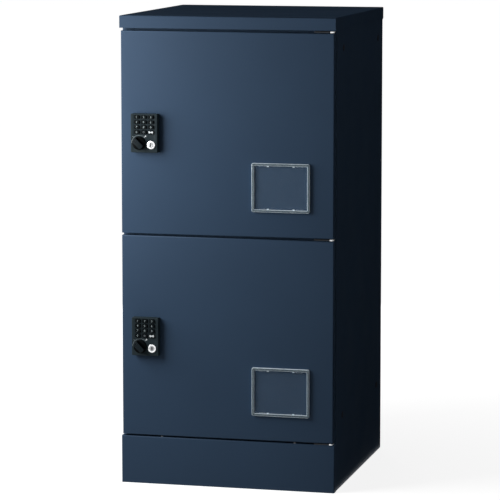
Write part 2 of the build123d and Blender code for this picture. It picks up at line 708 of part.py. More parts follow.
def label_holder(bottom):
    """The clear label holder: a rim with rounded corners round a recessed window over a card slot."""
    low = bottom + HOLDER_ABOVE_DOOR_BOTTOM
    high = low + HOLDER_HEIGHT
    right = HOLDER_LEFT + HOLDER_WIDTH
    front = FRONT - HOLDER_DEPTH
    holder = block(HOLDER_LEFT, right, front, FRONT, low, high)
    holder = fillet(holder.edges().filter_by(Axis.Y), HOLDER_CORNER_RADIUS)
    holder = chamfer(holder.faces().sort_by(Axis.Y)[0].edges(), HOLDER_EDGE_BEVEL)
    window = (
        HOLDER_LEFT + HOLDER_RIM,
        right - HOLDER_RIM,
        low + HOLDER_RIM,
        high - HOLDER_RIM,
    )
    window_front = front + HOLDER_WINDOW_RECESS
    holder -= block(*window[:2], front - THROUGH, window_front, *window[2:])
    holder -= block(*window[:2], window_front + HOLDER_WINDOW, FRONT + THROUGH, *window[2:])
    for offset, width in HOLDER_TABS:
        for x in (HOLDER_LEFT + offset, right - offset - width):
            for z_low in (window[2], window[3] - HOLDER_TAB_REACH):
                tab_front = window_front - HOLDER_TAB_DEPTH
                tab = (x, x + width, tab_front, window_front, z_low, z_low + HOLDER_TAB_REACH)
                holder += block(*tab)
    return holder


def write(name, shape):
    """Write one sub-part to its own file."""
    export_step(shape, f"parts/{name}.step")


def write_door(prefix, bottom):
    """Write every sub-part of one door."""
    write(f"{prefix}_door_skin", door_skin(bottom))
    write(f"{prefix}_door_inner_panel", door_inner_panel(bottom))
    write(f"{prefix}_pivot_washers", pivot_washers(bottom))
    write(f"{prefix}_lock_housing", lock_housing(bottom))
    write(f"{prefix}_lock_case", lock_case(bottom))
    write(f"{prefix}_knob", knob(bottom))
    write(f"{prefix}_cam", cam(bottom))
    write(f"{prefix}_cylinder_body", cylinder_body(bottom))
    write(f"{prefix}_key_plug", key_plug(bottom))
    write(f"{prefix}_label_holder", label_holder(bottom))
    for name, x, z in button_places(bottom):
        write(f"{prefix}_button_{name}", button(x, z))


left_side = side_panel()
write("side_panel_left", left_side)
write("side_panel_right", mirror(left_side, about=Plane.YZ))
write("side_caps", side_caps())
write("back_panel", back_panel())
write("ceiling_panel", ceiling_panel())
write("middle_shelf", middle_shelf())
write("floor_panel", floor_panel())
write("top_cap", top_cap())
write("plinth_cover", plinth_cover())
write("base_channels", base_channels())
write("hinge_brackets", hinge_brackets())
write("hinge_pins", hinge_pins())
write("door_bumpers", door_bumpers())
write_door("lower", LOWER_DOOR_BOTTOM)
write_door("upper", UPPER_DOOR_BOTTOM)
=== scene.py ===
"""Looks of the parcel locker: finishes, detailed pieces, studio and camera, built round the CAD frame."""

import logging
import math
from dataclasses import dataclass, field
from enum import Enum
from typing import Callable, Iterable, Optional, Sequence

import bmesh
import bpy
from mathutils import Matrix, Vector


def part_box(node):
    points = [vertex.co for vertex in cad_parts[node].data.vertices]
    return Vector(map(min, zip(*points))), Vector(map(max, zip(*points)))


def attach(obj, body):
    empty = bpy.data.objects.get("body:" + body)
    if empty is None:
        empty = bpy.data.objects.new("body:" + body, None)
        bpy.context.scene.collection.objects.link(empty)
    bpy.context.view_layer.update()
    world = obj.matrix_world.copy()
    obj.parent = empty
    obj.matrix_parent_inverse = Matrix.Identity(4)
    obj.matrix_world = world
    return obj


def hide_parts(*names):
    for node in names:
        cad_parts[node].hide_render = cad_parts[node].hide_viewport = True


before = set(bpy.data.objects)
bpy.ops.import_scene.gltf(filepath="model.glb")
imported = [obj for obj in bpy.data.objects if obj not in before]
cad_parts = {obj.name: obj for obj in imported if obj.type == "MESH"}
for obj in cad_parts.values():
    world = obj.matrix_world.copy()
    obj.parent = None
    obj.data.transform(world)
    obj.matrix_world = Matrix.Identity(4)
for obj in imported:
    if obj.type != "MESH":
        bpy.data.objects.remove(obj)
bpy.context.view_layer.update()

logging.basicConfig(level=logging.INFO, format="%(message)s")
log = logging.getLogger("locker")

MM = 0.001

# Points within NEAR count as level, points within MERGE become one, and a rim turns by more than RIM_ANGLE.
NEAR = 0.01 * MM
MERGE = 0.001 * MM
RIM_ANGLE = math.radians(40)

Color = tuple[float, float, float]
Point = tuple[float, float, float]
Span = tuple[float, float]
Outline = list[bmesh.types.BMEdge]
Socket = bpy.types.NodeSocket


class DoorPlace(Enum):
    """Which of the two stacked doors a piece belongs to."""

    LOWER = "lower"
    UPPER = "upper"


class Shade(Enum):
    """Which faces of a piece keep a flat look between its rounded edges."""

    PLATE = "faces square to an axis"
    TURNED = "faces square to the depth axis"
    SOFT = "no face"


# Finishes


class Graph:
    """Short calls for building the nodes of a material or of the world."""

    def __init__(self, holder: bpy.types.ID, output: str = "ShaderNodeOutputMaterial") -> None:
        """Start with an empty tree.

        Args:
            holder: The material or world.
            output: The type name of its output node.
        """
        holder.use_nodes = True
        self.holder = holder
        self.tree = holder.node_tree
        self.tree.nodes.clear()
        self.output = self.add(output)

    @property
    def place(self) -> Socket:
        """The point in object space."""
        return self.add("ShaderNodeTexCoord").outputs["Object"]

    def add(self, kind: str, **values: object) -> bpy.types.Node:
        """Add a node.

        Args:
            kind: The node's type name.
            values: Its properties by name.

        Returns:
            The new node.
        """
        node = self.tree.nodes.new(kind)
        for name, value in values.items():
            setattr(node, name, value)
        return node

    def link(self, source: Socket, target: Socket) -> None:
        """Join an output to an input."""
        self.tree.links.new(source, target)

    def surface(
        self, color: Socket, roughness: Optional[Socket], normal: Socket, **constants: float
    ) -> bpy.types.Node:
        """Add the surface shader and join it to the output.

        Args:
            color: Its base colour.
            roughness: Its roughness, unless that is a constant.
            normal: Its bumped normal.
            constants: Its constant inputs, with underscores for the spaces in their names.

        Returns:
            The shader node.
        """
        node = self.add("ShaderNodeBsdfPrincipled")
        for name, value in constants.items():
            node.inputs[name.replace("_", " ")].default_value = value
        for name, socket in (("Base Color", color), ("Roughness", roughness), ("Normal", normal)):
            if socket is not None:
                self.link(socket, node.inputs[name])
        self.link(node.outputs["BSDF"], self.output.inputs["Surface"])
        return node

    def noise(self, scale: float, detail: float = 2.0, stretch: Color = (1, 1, 1)) -> Socket:
        """Add a noise in object space.

        Args:
            scale: Waves per metre.
            detail: Finer octaves.
            stretch: How much tighter the pattern is along each axis.

        Returns:
            The noise's value, from 0 to 1.
        """
        mapping = self.add("ShaderNodeMapping")
        mapping.inputs["Scale"].default_value = stretch
        self.link(self.place, mapping.inputs["Vector"])
        texture = self.add("ShaderNodeTexNoise")
        texture.inputs["Scale"].default_value = scale
        texture.inputs["Detail"].default_value = detail
        self.link(mapping.outputs["Vector"], texture.inputs["Vector"])
        return texture.outputs["Fac"]

    def spread(self, value: Socket, low: float, high: float, start: float = 0.3, end: float = 0.7) -> Socket:
        """Map a value's middle range onto another range.

        Args:
            value: The value to map.
            low: Result at the start of the range.
            high: Result at its end.
            start: The value that gives low.
            end: The value that gives high.

        Returns:
            The mapped value.
        """
        node = self.add("ShaderNodeMapRange")
        for name, number in (("From Min", start), ("From Max", end), ("To Min", low), ("To Max", high)):
            node.inputs[name].default_value = number
        self.link(value, node.inputs["Value"])
        return node.outputs["Result"]

    def cloud(self, scale: float, detail: float = 2.0) -> Socket:
        """Soft patches from 0 to 1, by their waves per metre and finer octaves."""
        return self.spread(self.noise(scale, detail), 0.0, 1.0)

    def combine(
        self, operation: str, first: Socket, second: Socket | float = 0.0, **values: object
    ) -> Socket:
        """Combine two values.

        Args:
            operation: How, by the node's own name for it.
            first: A value.
            second: Another value, or a number.
            values: The node's further properties.

        Returns:
            The result.
        """
        node = self.add("ShaderNodeMath", operation=operation, **values)
        self.link(first, node.inputs[0])
        if isinstance(second, Socket):
            self.link(second, node.inputs[1])
        else:
            node.inputs[1].default_value = second
        return node.outputs["Value"]

    def mix(self, amount: Socket, first: Socket | Color, second: Socket | Color) -> Socket:
        """Mix two colours.

        Args:
            amount: How much of the second colour.
            first: A colour, or a socket that gives one.
            second: A colour, or a socket that gives one.

        Returns:
            The mixed colour.
        """
        node = self.add("ShaderNodeMix", data_type="RGBA")
        self.link(amount, node.inputs["Factor"])
        for socket, color in ((node.inputs[6], first), (node.inputs[7], second)):
            if isinstance(color, Socket):
                self.link(color, socket)
            else:
                socket.default_value = (*color, 1.0)
        return node.outputs[2]

    def bump(self, height: Socket, depth: float) -> Socket:
        """Turn a height from 0 to 1 into a bumped normal.

        Args:
            height: The height.
            depth: How deep the full height is, in metres.

        Returns:
            The bumped normal.
        """
        node = self.add("ShaderNodeBump")
        node.inputs["Distance"].default_value = depth
        self.link(height, node.inputs["Height"])
        return node.outputs["Normal"]


def shifted(color: Color, factor: float) -> Color:
    """A colour made lighter or darker by a factor."""
    return tuple(min(channel * factor, 1.0) for channel in color)


@dataclass(frozen=True)
class Finish:
    """A finish, whose material is made once and shared by its pieces."""

    name: str
    color: Color

    def material(self) -> bpy.types.Material:
        """Make the finish's material, or find it where it was made before.

        Returns:
            The material.
        """
        found = bpy.data.materials.get(self.name)
        if found is None:
            found = bpy.data.materials.new(self.name)
            self.build(Graph(found))
        return found

    def build(self, graph: Graph) -> None:
        """Make the finish's nodes.

        Args:
            graph: The empty material.
        """
        raise NotImplementedError


@dataclass(frozen=True)
class PowderCoat(Finish):
    """Semi-matte sprayed powder on sheet steel, with orange peel, and edges made lighter: partly faint rubbed
    wear, partly a painted edge highlight.
    """

    roughness: float = 0.5
    gloss: float = 0.12
    edge_rub_and_highlight: float = 0.35
    edge_reach: float = 0.9 * MM
    peel_scale: float = 620.0
    peel_depth: float = 0.035 * MM
    cloud_scale: float = 2.6
    speck_scale: float = 1500.0
    patch_scale: float = 55.0
    haze_scale: float = 9.0

    def build(self, graph: Graph) -> None:
        """Make the nodes: see Finish.build."""
        cloud = graph.cloud(self.cloud_scale, 3.0)
        tone = graph.mix(cloud, shifted(self.color, 0.93), shifted(self.color, 1.07))
        speck = graph.spread(graph.noise(self.speck_scale), 0.0, 0.22, 0.5, 0.75)
        tone = graph.mix(speck, tone, shifted(self.color, 1.5))
        # Lighter edges where the Bevel normal turns away: partly rubbed wear, partly a painted edge
        # highlight.
        edge = graph.add("ShaderNodeBevel", samples=4)
        edge.inputs["Radius"].default_value = self.edge_reach
        plain = graph.add("ShaderNodeNewGeometry")
        turn = graph.add("ShaderNodeVectorMath", operation="DOT_PRODUCT")
        graph.link(edge.outputs["Normal"], turn.inputs[0])
        graph.link(plain.outputs["Normal"], turn.inputs[1])
        corner = graph.spread(turn.outputs["Value"], self.edge_rub_and_highlight, 0.0, 0.75, 0.97)
        patch = graph.spread(graph.noise(self.patch_scale, 4.0), 0.25, 1.0, 0.35, 0.65)
        rubbed = graph.combine("MULTIPLY", corner, patch)
        tone = graph.mix(rubbed, tone, shifted(self.color, 2.6))
        haze = graph.spread(graph.noise(self.haze_scale, 4.0), self.roughness - 0.03, self.roughness + 0.04)
        peel = graph.bump(graph.noise(self.peel_scale), self.peel_depth)
        graph.surface(tone, haze, peel, Specular_IOR_Level=self.gloss)


@dataclass(frozen=True)
class PlatedSteel(Finish):
    """Zinc plate or ground bare steel, with drawn lines and a patchy sheen."""

    roughness: float = 0.32
    lines: Color = (1, 1, 1)
    line_scale: float = 900.0
    line_depth: float = 0.02 * MM
    dull: float = 0.72
    patch_scale: float = 240.0
    stain_scale: float = 30.0
    haze_scale: float = 160.0

    def build(self, graph: Graph) -> None:
        """Make the nodes: see Finish.build."""
        patch = graph.spread(graph.noise(self.patch_scale, 4.0), 0.0, 1.0, 0.4, 0.62)
        tone = graph.mix(patch, shifted(self.color, self.dull), self.color)
        stain = graph.spread(graph.noise(self.stain_scale, 3.0), 0.0, 0.35, 0.5, 0.7)
        tone = graph.mix(stain, tone, shifted(self.color, 0.55))
        haze = graph.spread(graph.noise(self.haze_scale, 5.0), self.roughness - 0.08, self.roughness + 0.12)
        drawn = graph.bump(graph.noise(self.line_scale, 2.0, self.lines), self.line_depth)
        graph.surface(tone, haze, drawn, Metallic=1.0)


@dataclass(frozen=True)
class BlackZinc(Finish):
    """Black zinc plate, rubbed back to bright metal where a door turns on it."""

    bright: Color = (0.86, 0.87, 0.88)
    rubbed_middle: float = 232.2 * MM
    rubbed_half: float = 3.8 * MM
    rubbed_fade: float = 0.8 * MM
    patch_scale: float = 420.0
    cloud_scale: float = 200.0
    haze_scale: float = 160.0
    grain_scale: float = 900.0
    grain_depth: float = 0.02 * MM

    def build(self, graph: Graph) -> None:
        """Make the nodes: see Finish.build."""
        split = graph.add("ShaderNodeSeparateXYZ")
        graph.link(graph.place, split.inputs["Vector"])
        away = graph.combine("ABSOLUTE", graph.combine("SUBTRACT", split.outputs["X"], self.rubbed_middle))
        near = graph.spread(away, 1.0, 0.0, self.rubbed_half, self.rubbed_half + self.rubbed_fade)
        patch = graph.spread(graph.noise(self.patch_scale, 4.0), 0.55, 1.0, 0.35, 0.6)
        tone = graph.mix(graph.cloud(self.cloud_scale, 3.0), shifted(self.color, 0.75), self.color)
        tone = graph.mix(graph.combine("MULTIPLY", near, patch), tone, self.bright)
        haze = graph.spread(graph.noise(self.haze_scale, 5.0), 0.3, 0.5)
        grain = graph.bump(graph.noise(self.grain_scale), self.grain_depth)
        graph.surface(tone, haze, grain, Metallic=1.0)


@dataclass(frozen=True)
class Moulded(Finish):
    """Moulded plastic or rubber with a sparked texture and a little dust in soft patches."""

    roughness: float = 0.5
    gloss: float = 0.12
    grain_scale: float = 1700.0
    grain_depth: float = 0.06 * MM
    dust: float = 0.2
    dust_tone: float = 0.012
    dust_scale: float = 70.0
    haze_scale: float = 120.0

    def build(self, graph: Graph) -> None:
        """Make the nodes: see Finish.build."""
        grain = graph.noise(self.grain_scale, 3.0)
        speckled = graph.spread(grain, 0.0, 1.0)
        tone = graph.mix(speckled, shifted(self.color, 0.8), shifted(self.color, 1.25))
        settled = graph.spread(graph.noise(self.dust_scale, 4.0), 0.0, self.dust, 0.5, 0.75)
        tone = graph.mix(settled, tone, tuple(channel + self.dust_tone for channel in self.color))
        haze = graph.spread(graph.noise(self.haze_scale, 3.0), self.roughness - 0.05, self.roughness + 0.07)
        graph.surface(tone, haze, graph.bump(grain, self.grain_depth), Specular_IOR_Level=self.gloss)


@dataclass(frozen=True)
class Chrome(Finish):
    """Bright nickel-chrome plate with fine wiping marks and key scratches."""

    roughness: float = 0.16
    cloud_scale: float = 200.0
    wiping_scale: float = 700.0
    wiping_stretch: Color = (1, 1, 0.12)
    scratch_scale: float = 1600.0
    scratch_stretch: Color = (1, 1, 0.08)
    scratch_depth: float = 0.008 * MM

    def build(self, graph: Graph) -> None:
        """Make the nodes: see Finish.build."""
        tone = graph.mix(graph.cloud(self.cloud_scale, 3.0), shifted(self.color, 0.92), self.color)
        wiped = graph.spread(graph.noise(self.wiping_scale, 4.0, self.wiping_stretch), 0.0, 0.14, 0.4, 0.7)
        scratched = graph.bump(graph.noise(self.scratch_scale, 3.0, self.scratch_stretch), self.scratch_depth)
        graph.surface(tone, graph.combine("ADD", wiped, self.roughness), scratched, Metallic=1.0)


@dataclass(frozen=True)
class Acrylic(Finish):
    """Clear moulded acrylic that shows the paint behind it, with a painted reflection that makes it paler
    where it is seen edge-on.
    """

    body: float = 0.10
    edge: float = 0.35
    haze: float = 0.12
    refraction: float = 1.49
    cloud_scale: float = 40.0
    haze_scale: float = 30.0
    mottle_scale: float = 120.0
    wave_scale: float = 45.0
    wave_depth: float = 0.01 * MM

    def build(self, graph: Graph) -> None:
        """Make the nodes: see Finish.build."""
        tone = graph.mix(graph.cloud(self.cloud_scale, 3.0), shifted(self.color, 0.9), self.color)
        haze = graph.spread(graph.noise(self.haze_scale, 1.0), self.haze * 0.8, self.haze * 1.3)
        waves = graph.bump(graph.noise(self.wave_scale, 1.0), self.wave_depth)
        shader = graph.surface(tone, haze, waves, IOR=self.refraction)
        # Alpha rises where the acrylic is seen edge-on: a painted reflection.
        weight = graph.add("ShaderNodeLayerWeight")
        seen = graph.spread(weight.outputs["Facing"], self.body, self.edge, 0.15, 0.85)
        mottle = graph.spread(graph.noise(self.mottle_scale, 3.0), 0.85, 1.15)
        graph.link(graph.combine("MULTIPLY", seen, mottle), shader.inputs["Alpha"])


@dataclass(frozen=True)
class Ink(Finish):
    """Pad-printed pale ink, a little worn."""

    worn: float = 0.25
    roughness: float = 0.6
    wear_scale: float = 900.0
    grain_scale: float = 2200.0
    grain_depth: float = 0.01 * MM

    def build(self, graph: Graph) -> None:
        """Make the nodes: see Finish.build."""
        wear = graph.spread(graph.noise(self.wear_scale, 4.0), 0.0, self.worn, 0.45, 0.7)
        tone = graph.mix(wear, self.color, shifted(self.color, 0.5))
        grain = graph.bump(graph.noise(self.grain_scale), self.grain_depth)
        graph.surface(tone, None, grain, Roughness=self.roughness)


PAINT = PowderCoat("slate_powder_coat", (0.0255, 0.050, 0.090))
ZINC = PlatedSteel("zinc_plate", (0.62, 0.63, 0.64), lines=(1, 0.05, 1))
BLACK_ZINC = BlackZinc("black_zinc_plate", (0.030, 0.032, 0.036))
PIN_STEEL = PlatedSteel("ground_pin_steel", (0.7, 0.7, 0.71), roughness=0.24, lines=(0.05, 0.05, 1))
SCREW_STEEL = PlatedSteel("dark_screw_steel", (0.3, 0.31, 0.33), roughness=0.38)
RUBBER = Moulded("black_rubber", (0.018, 0.018, 0.018), roughness=0.75, grain_scale=900.0)
CAP_PLASTIC = Moulded("black_cap_plastic_finish", (0.016, 0.016, 0.018), roughness=0.45)
NYLON = Moulded("white_nylon_finish", (0.78, 0.78, 0.75), roughness=0.4, dust=0.1)
LOCK_PLASTIC = Moulded(
    "sparked_lock_plastic", (0.0115, 0.0195, 0.0235), roughness=0.55, gloss=0.1, grain_depth=0.12 * MM
)
CASE_PLASTIC = Moulded("lock_case_plastic", (0.022, 0.022, 0.023), roughness=0.55)
KEY_PLASTIC = Moulded(
    "push_button_plastic",
    (0.0012, 0.0028, 0.0036),
    roughness=0.42,
    gloss=0.05,
    grain_depth=0.04 * MM,
    dust_tone=0.004,
)
KNOB_PLASTIC = Moulded(
    "knob_plastic_finish",
    (0.0010, 0.0016, 0.0020),
    roughness=0.4,
    gloss=0.03,
    grain_depth=0.05 * MM,
    dust_tone=0.002,
)
# A lighter copy of the knob plastic: a painted highlight on the grip's front face.
GRIP_FACE_PAINTED_HIGHLIGHT = Moulded(
    "knob_grip_painted_highlight", (0.0050, 0.0090, 0.0115), roughness=0.45, gloss=0.08, grain_depth=0.05 * MM
)
# Near-black keyway walls: painted shade inside the keyway.
KEYWAY_PAINTED_SHADE = Moulded("keyway_shadow_steel", (0.006, 0.006, 0.006), roughness=0.7, gloss=0.05)
CHROME = Chrome("bright_chrome", (0.88, 0.89, 0.90))
PLUG_STEEL = PlatedSteel("satin_plug_plate", (0.42, 0.43, 0.44), roughness=0.3, lines=(0.05, 0.05, 1))
CLEAR = Acrylic("clear_acrylic_finish", (0.36, 0.55, 0.80), body=0.035, edge=0.08)
# A paler, more opaque copy of the clear acrylic on the rim's level faces, so the rim reads brighter than the
# window.
PALE_RIM_ACRYLIC = Acrylic("clear_acrylic_rim", (0.52, 0.68, 0.76), body=0.24, edge=0.6, haze=0.2)
# A near-white, nearly opaque copy of the acrylic: a painted highlight on the holder's edges and tab sides.
EDGE_PAINTED_HIGHLIGHT = Acrylic("clear_acrylic_painted_edge_highlight", (0.80, 0.92, 1.0), body=0.85, edge=0.95, haze=0.1)
INK = Ink("pale_print", (0.27, 0.33, 0.34))
BRIGHT_INK = Ink("bright_print", (0.62, 0.66, 0.68), worn=0.1)
ARC_INK = Ink("arc_print", (0.17, 0.21, 0.225))
DIM_INK = Ink("dim_print", (0.10, 0.12, 0.13))


# Mesh helpers


def rounded_outline(
    mesh: bmesh.types.BMesh,
    x_span: Span,
    z_span: Span,
    y: float,
    radius: float,
    segments: int = 5,
) -> Outline:
    """Add a closed outline of a rectangle with rounded corners, facing the front.

    Args:
        mesh: The mesh that it is added to.
        x_span: Left and right edge.
        z_span: Lower and upper edge.
        y: Its depth.
        radius: Corner radius, or 0 for square corners.
        segments: Segments of each corner.

    Returns:
        The outline's edges.
    """
    edges_before, faces_before = set(mesh.edges), set(mesh.faces)
    corners = [(x, z) for x, z in zip((*x_span, *x_span[::-1]), (z_span[0],) * 2 + (z_span[1],) * 2)]
    verts = [mesh.verts.new((x, y, z)) for x, z in corners]
    mesh.faces.new(verts)
    if radius:
        bmesh.ops.bevel(
            mesh,
            geom=verts,
            offset=radius,
            offset_type="OFFSET",
            segments=segments,
            profile=0.5,
            affect="VERTICES",
            material=-1,
        )
    made = [face for face in mesh.faces if face not in faces_before]
    bmesh.ops.delete(mesh, geom=made, context="FACES_ONLY")
    return [edge for edge in mesh.edges if edge not in edges_before]


def round_outline(
    mesh: bmesh.types.BMesh, x: float, y: float, z: float, radius: float, segments: int = 48
) -> Outline:
    """Add a circle that faces the front.

    Args:
        mesh: The mesh that it is added to.
        x: Middle, across.
        y: Its depth.
        z: Middle, in height.
        radius: The radius.
        segments: Edges round it.

    Returns:
        The circle's edges.
    """
    before = set(mesh.edges)
    place = Matrix.Translation((x, y, z)) @ Matrix.Rotation(math.pi / 2, 4, "X")
    bmesh.ops.create_circle(mesh, cap_ends=False, radius=radius, segments=segments, matrix=place)
    return [edge for edge in mesh.edges if edge not in before]


def fill(mesh: bmesh.types.BMesh, *outlines: Outline) -> list[bmesh.types.BMFace]:
    """Fill a flat outline, leaving the outlines inside it open.

    Args:
        mesh: The mesh that holds them.
        outlines: The outer outline and any inner ones.

    Returns:
        The faces made.
    """
    edges = [edge for outline in outlines for edge in outline]
    made = bmesh.ops.triangle_fill(
        mesh, use_beauty=True, use_dissolve=False, edges=edges, normal=(0, -1, 0)
    )
    return [item for item in made["geom"] if isinstance(item, bmesh.types.BMFace)]


def pull(
    mesh: bmesh.types.BMesh, faces: Sequence[bmesh.types.BMFace], move: Sequence[float]
) -> list[bmesh.types.BMFace]:
    """Extrude faces, leaving none behind where they were part of a closed shape.

    Args:
        mesh: The mesh that holds them.
        faces: The faces.
        move: How far the new faces go.

    Returns:
        The faces at the far end.
    """
    region = set(faces)
    attached = any(
        link not in region for face in faces for edge in face.edges for link in edge.link_faces
    )
    made = bmesh.ops.extrude_face_region(mesh, geom=list(faces))["geom"]
    if attached:
        bmesh.ops.delete(mesh, geom=list(faces), context="FACES_KEEP_BOUNDARY")
    verts = [item for item in made if isinstance(item, bmesh.types.BMVert)]
    bmesh.ops.translate(mesh, verts=verts, vec=move)
    return [item for item in made if isinstance(item, bmesh.types.BMFace)]


def soften(
    mesh: bmesh.types.BMesh, edges: Iterable[bmesh.types.BMEdge], size: float, segments: int = 3
) -> None:
    """Round edges over.

    Args:
        mesh: The mesh that holds them.
        edges: The edges.
        size: How far the rounding reaches on each side.
        segments: Its segments.
    """
    bmesh.ops.bevel(
        mesh,
        geom=list(edges),
        offset=size,
        offset_type="OFFSET",
        segments=segments,
        profile=0.5,
        affect="EDGES",
        material=-1,
        clamp_overlap=True,
    )


def set_normals(mesh: bmesh.types.BMesh) -> None:
    """Make every face look outwards."""
    bmesh.ops.recalc_face_normals(mesh, faces=mesh.faces)


def at_depth(item: bmesh.types.BMEdge | bmesh.types.BMFace, y: float) -> bool:
    """Whether an edge or face lies at a depth."""
    return all(abs(vert.co.y - y) < NEAR for vert in item.verts)


def around(point: Vector, half_x: float, half_z: float) -> tuple[Span, Span]:
    """The span across and the span in height round a point, from their halves."""
    return (point.x - half_x, point.x + half_x), (point.z - half_z, point.z + half_z)


def inside(point: Vector, x_span: Span, z_span: Span) -> bool:
    """Whether a point lies within a span across and a span in height."""
    spans = ((point.x, x_span), (point.z, z_span))
    return all(span[0] - NEAR < value < span[1] + NEAR for value, span in spans)


def absorb(mesh: bmesh.types.BMesh, part: bmesh.types.BMesh) -> None:
    """Add a part to a mesh.

    Args:
        mesh: The mesh.
        part: The part, which is used up.
    """
    data = bpy.data.meshes.new("part")
    part.to_mesh(data)
    part.free()
    mesh.from_mesh(data)
    bpy.data.meshes.remove(data)


def rims(mesh: bmesh.types.BMesh, y: float) -> list[bmesh.types.BMEdge]:
    """The edges at a depth where the surface turns sharply.

    Args:
        mesh: The mesh, with its normals set.
        y: The depth.

    Returns:
        The edges.
    """
    mesh.normal_update()
    return [
        edge
        for edge in mesh.edges
        if len(edge.link_faces) == 2 and at_depth(edge, y) and edge.calc_face_angle(0.0) > RIM_ANGLE
    ]


def turned(
    mesh: bmesh.types.BMesh,
    centre: Vector,
    profile: Sequence[Span],
    axis: Vector = Vector((0, 1, 0)),
    steps: int = 56,
) -> None:
    """Spin a profile into a round shape.

    Args:
        mesh: The mesh that it is added to.
        centre: A point on the axis.
        profile: Radius and distance along the axis of each point.
        axis: The axis, along X, Y or Z.
        steps: Segments round the axis.
    """
    side = Vector((0, 0, 1)) if abs(axis.z) < 0.5 else Vector((1, 0, 0))
    verts = [mesh.verts.new(centre + side * radius + axis * along) for radius, along in profile]
    edges = [mesh.edges.new(pair) for pair in zip(verts, verts[1:])]
    bmesh.ops.spin(
        mesh,
        geom=verts + edges,
        cent=centre,
        axis=axis,
        angle=math.tau,
        steps=steps,
        use_merge=True,
    )


def face_is_flat(face: bmesh.types.BMFace, shade: Shade) -> bool:
    """Whether a face keeps a flat look.

    Args:
        face: The face.
        shade: The piece's choice.

    Returns:
        True for a flat look.
    """
    nearly = 0.9998
    if shade is Shade.PLATE:
        return max(abs(part) for part in face.normal) > nearly
    if shade is Shade.TURNED:
        return abs(face.normal.y) > nearly
    return False


def finished(
    mesh: bmesh.types.BMesh,
    name: str,
    finish: Finish,
    body: str,
    shade: Shade = Shade.PLATE,
    sharp: float = 50.0,
    stands_for: Sequence[str] = (),
) -> bpy.types.Object:
    """Turn a mesh into a piece that rides on a body.

    Args:
        mesh: The mesh, which is used up.
        name: The piece's name.
        finish: Its finish.
        body: The body it rides on.
        shade: Which of its faces look flat.
        sharp: The angle past which an edge looks sharp, in degrees.
        stands_for: CAD nodes that it replaces.

    Returns:
        The piece.
    """
    bmesh.ops.remove_doubles(mesh, verts=mesh.verts, dist=MERGE)
    set_normals(mesh)
    for face in mesh.faces:
        face.smooth = not face_is_flat(face, shade)
    data = bpy.data.meshes.new(name)
    mesh.to_mesh(data)
    mesh.free()
    data.set_sharp_from_angle(angle=math.radians(sharp))
    data.materials.append(finish.material())
    piece = bpy.data.objects.new(name, data)
    bpy.context.scene.collection.objects.link(piece)
    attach(piece, body)
    if stands_for:
        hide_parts(*stands_for)
    log.info("%s: %d faces on %s", name, len(data.polygons), body)
    return piece


def dress_faces(
    piece: bpy.types.Object,
    finishes: Sequence[Finish],
    finish_of: Callable[[bpy.types.MeshPolygon], int],
) -> None:
    """Give some faces of a piece other finishes.

    Args:
        piece: The piece.
        finishes: The other finishes.
        finish_of: Gives a face's number: 0 for the piece's own finish, 1 for the first other one.
    """
    for finish in finishes:
        piece.data.materials.append(finish.material())
    for face in piece.data.polygons:
        face.material_index = finish_of(face)


def lettering(text: str, size: float, place: Vector, thickness: float) -> bmesh.types.BMesh:
    """Make flat lettering that faces the front, centred on a place.

    Args:
        text: What it reads.
        size: The height of its type.
        place: The middle of the lettering, at its back.
        thickness: How far it stands forward.

    Returns:
        The lettering's mesh.
    """
    curve = bpy.data.curves.new("lettering", "FONT")
    curve.body = text
    curve.size = size
    curve.align_x, curve.align_y = "CENTER", "CENTER"
    curve.extrude = thickness / 2
    curve.resolution_u = 4
    holder = bpy.data.objects.new("lettering", curve)
    bpy.context.scene.collection.objects.link(holder)
    bpy.context.view_layer.update()
    graph = bpy.context.evaluated_depsgraph_get()
    data = bpy.data.meshes.new_from_object(holder.evaluated_get(graph))
    bpy.data.objects.remove(holder)
    bpy.data.curves.remove(curve)
    mesh = bmesh.new()
    mesh.from_mesh(data)
    bpy.data.meshes.remove(data)
    upright = Matrix.Rotation(math.pi / 2, 4, "X")
    bmesh.ops.transform(mesh, matrix=upright, verts=mesh.verts)
    middle = Vector((0, -thickness / 2, 0))
    across = [vert.co.x for vert in mesh.verts]
    middle.x -= (min(across) + max(across)) / 2
    bmesh.ops.translate(mesh, verts=mesh.verts, vec=place + middle)
    return mesh


# Carried-over CAD nodes


@dataclass
class SheetWork:
    """The folded sheets and plain fittings whose CAD shape is right, some with smoothed folds."""

    painted: tuple[str, ...] = ("back_panel", "ceiling_panel", "middle_shelf", "floor_panel")
    folded: tuple[str, ...] = ("side_panel_left", "side_panel_right", "top_cap", "plinth_cover")
    plain: dict[str, Finish] = field(
        default_factory=lambda: {
            "base_channels": ZINC,
            "hinge_brackets": BLACK_ZINC,
            "hinge_pins": PIN_STEEL,
            "door_bumpers": RUBBER,
        }
    )
    door_plain: dict[str, Finish] = field(
        default_factory=lambda: {
            "door_inner_panel": PAINT,
            "pivot_washers": NYLON,
            "lock_case": CASE_PLASTIC,
            "cam": ZINC,
        }
    )

    def dress(self, node: str, finish: Finish) -> None:
        """Give a CAD node its finish.

        Args:
            node: The node's name.
            finish: The finish.
        """
        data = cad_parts[node].data
        data.materials.clear()
        data.materials.append(finish.material())

    def smooth_copy(self, node: str, body: str) -> None:
        """Replace a CAD node by its own merged copy, whose folds shade smoothly.

        Args:
            node: The node's name.
            body: The body it rides on.
        """
        mesh = bmesh.new()
        mesh.from_mesh(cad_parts[node].data)
        bmesh.ops.remove_doubles(mesh, verts=mesh.verts, dist=MERGE)
        finished(mesh, f"{node}_smooth", PAINT, body, Shade.PLATE, 35.0, (node,))

    def build(self) -> None:
        """Dress every carried-over node."""
        for node in self.painted:
            self.dress(node, PAINT)
        for node, finish in self.plain.items():
            self.dress(node, finish)
        for node in self.folded:
            self.smooth_copy(node, "cabinet")
        for place in DoorPlace:
            for node, finish in self.door_plain.items():
                self.dress(f"{place.value}_{node}", finish)
            self.smooth_copy(f"{place.value}_door_skin", f"{place.value}_door")


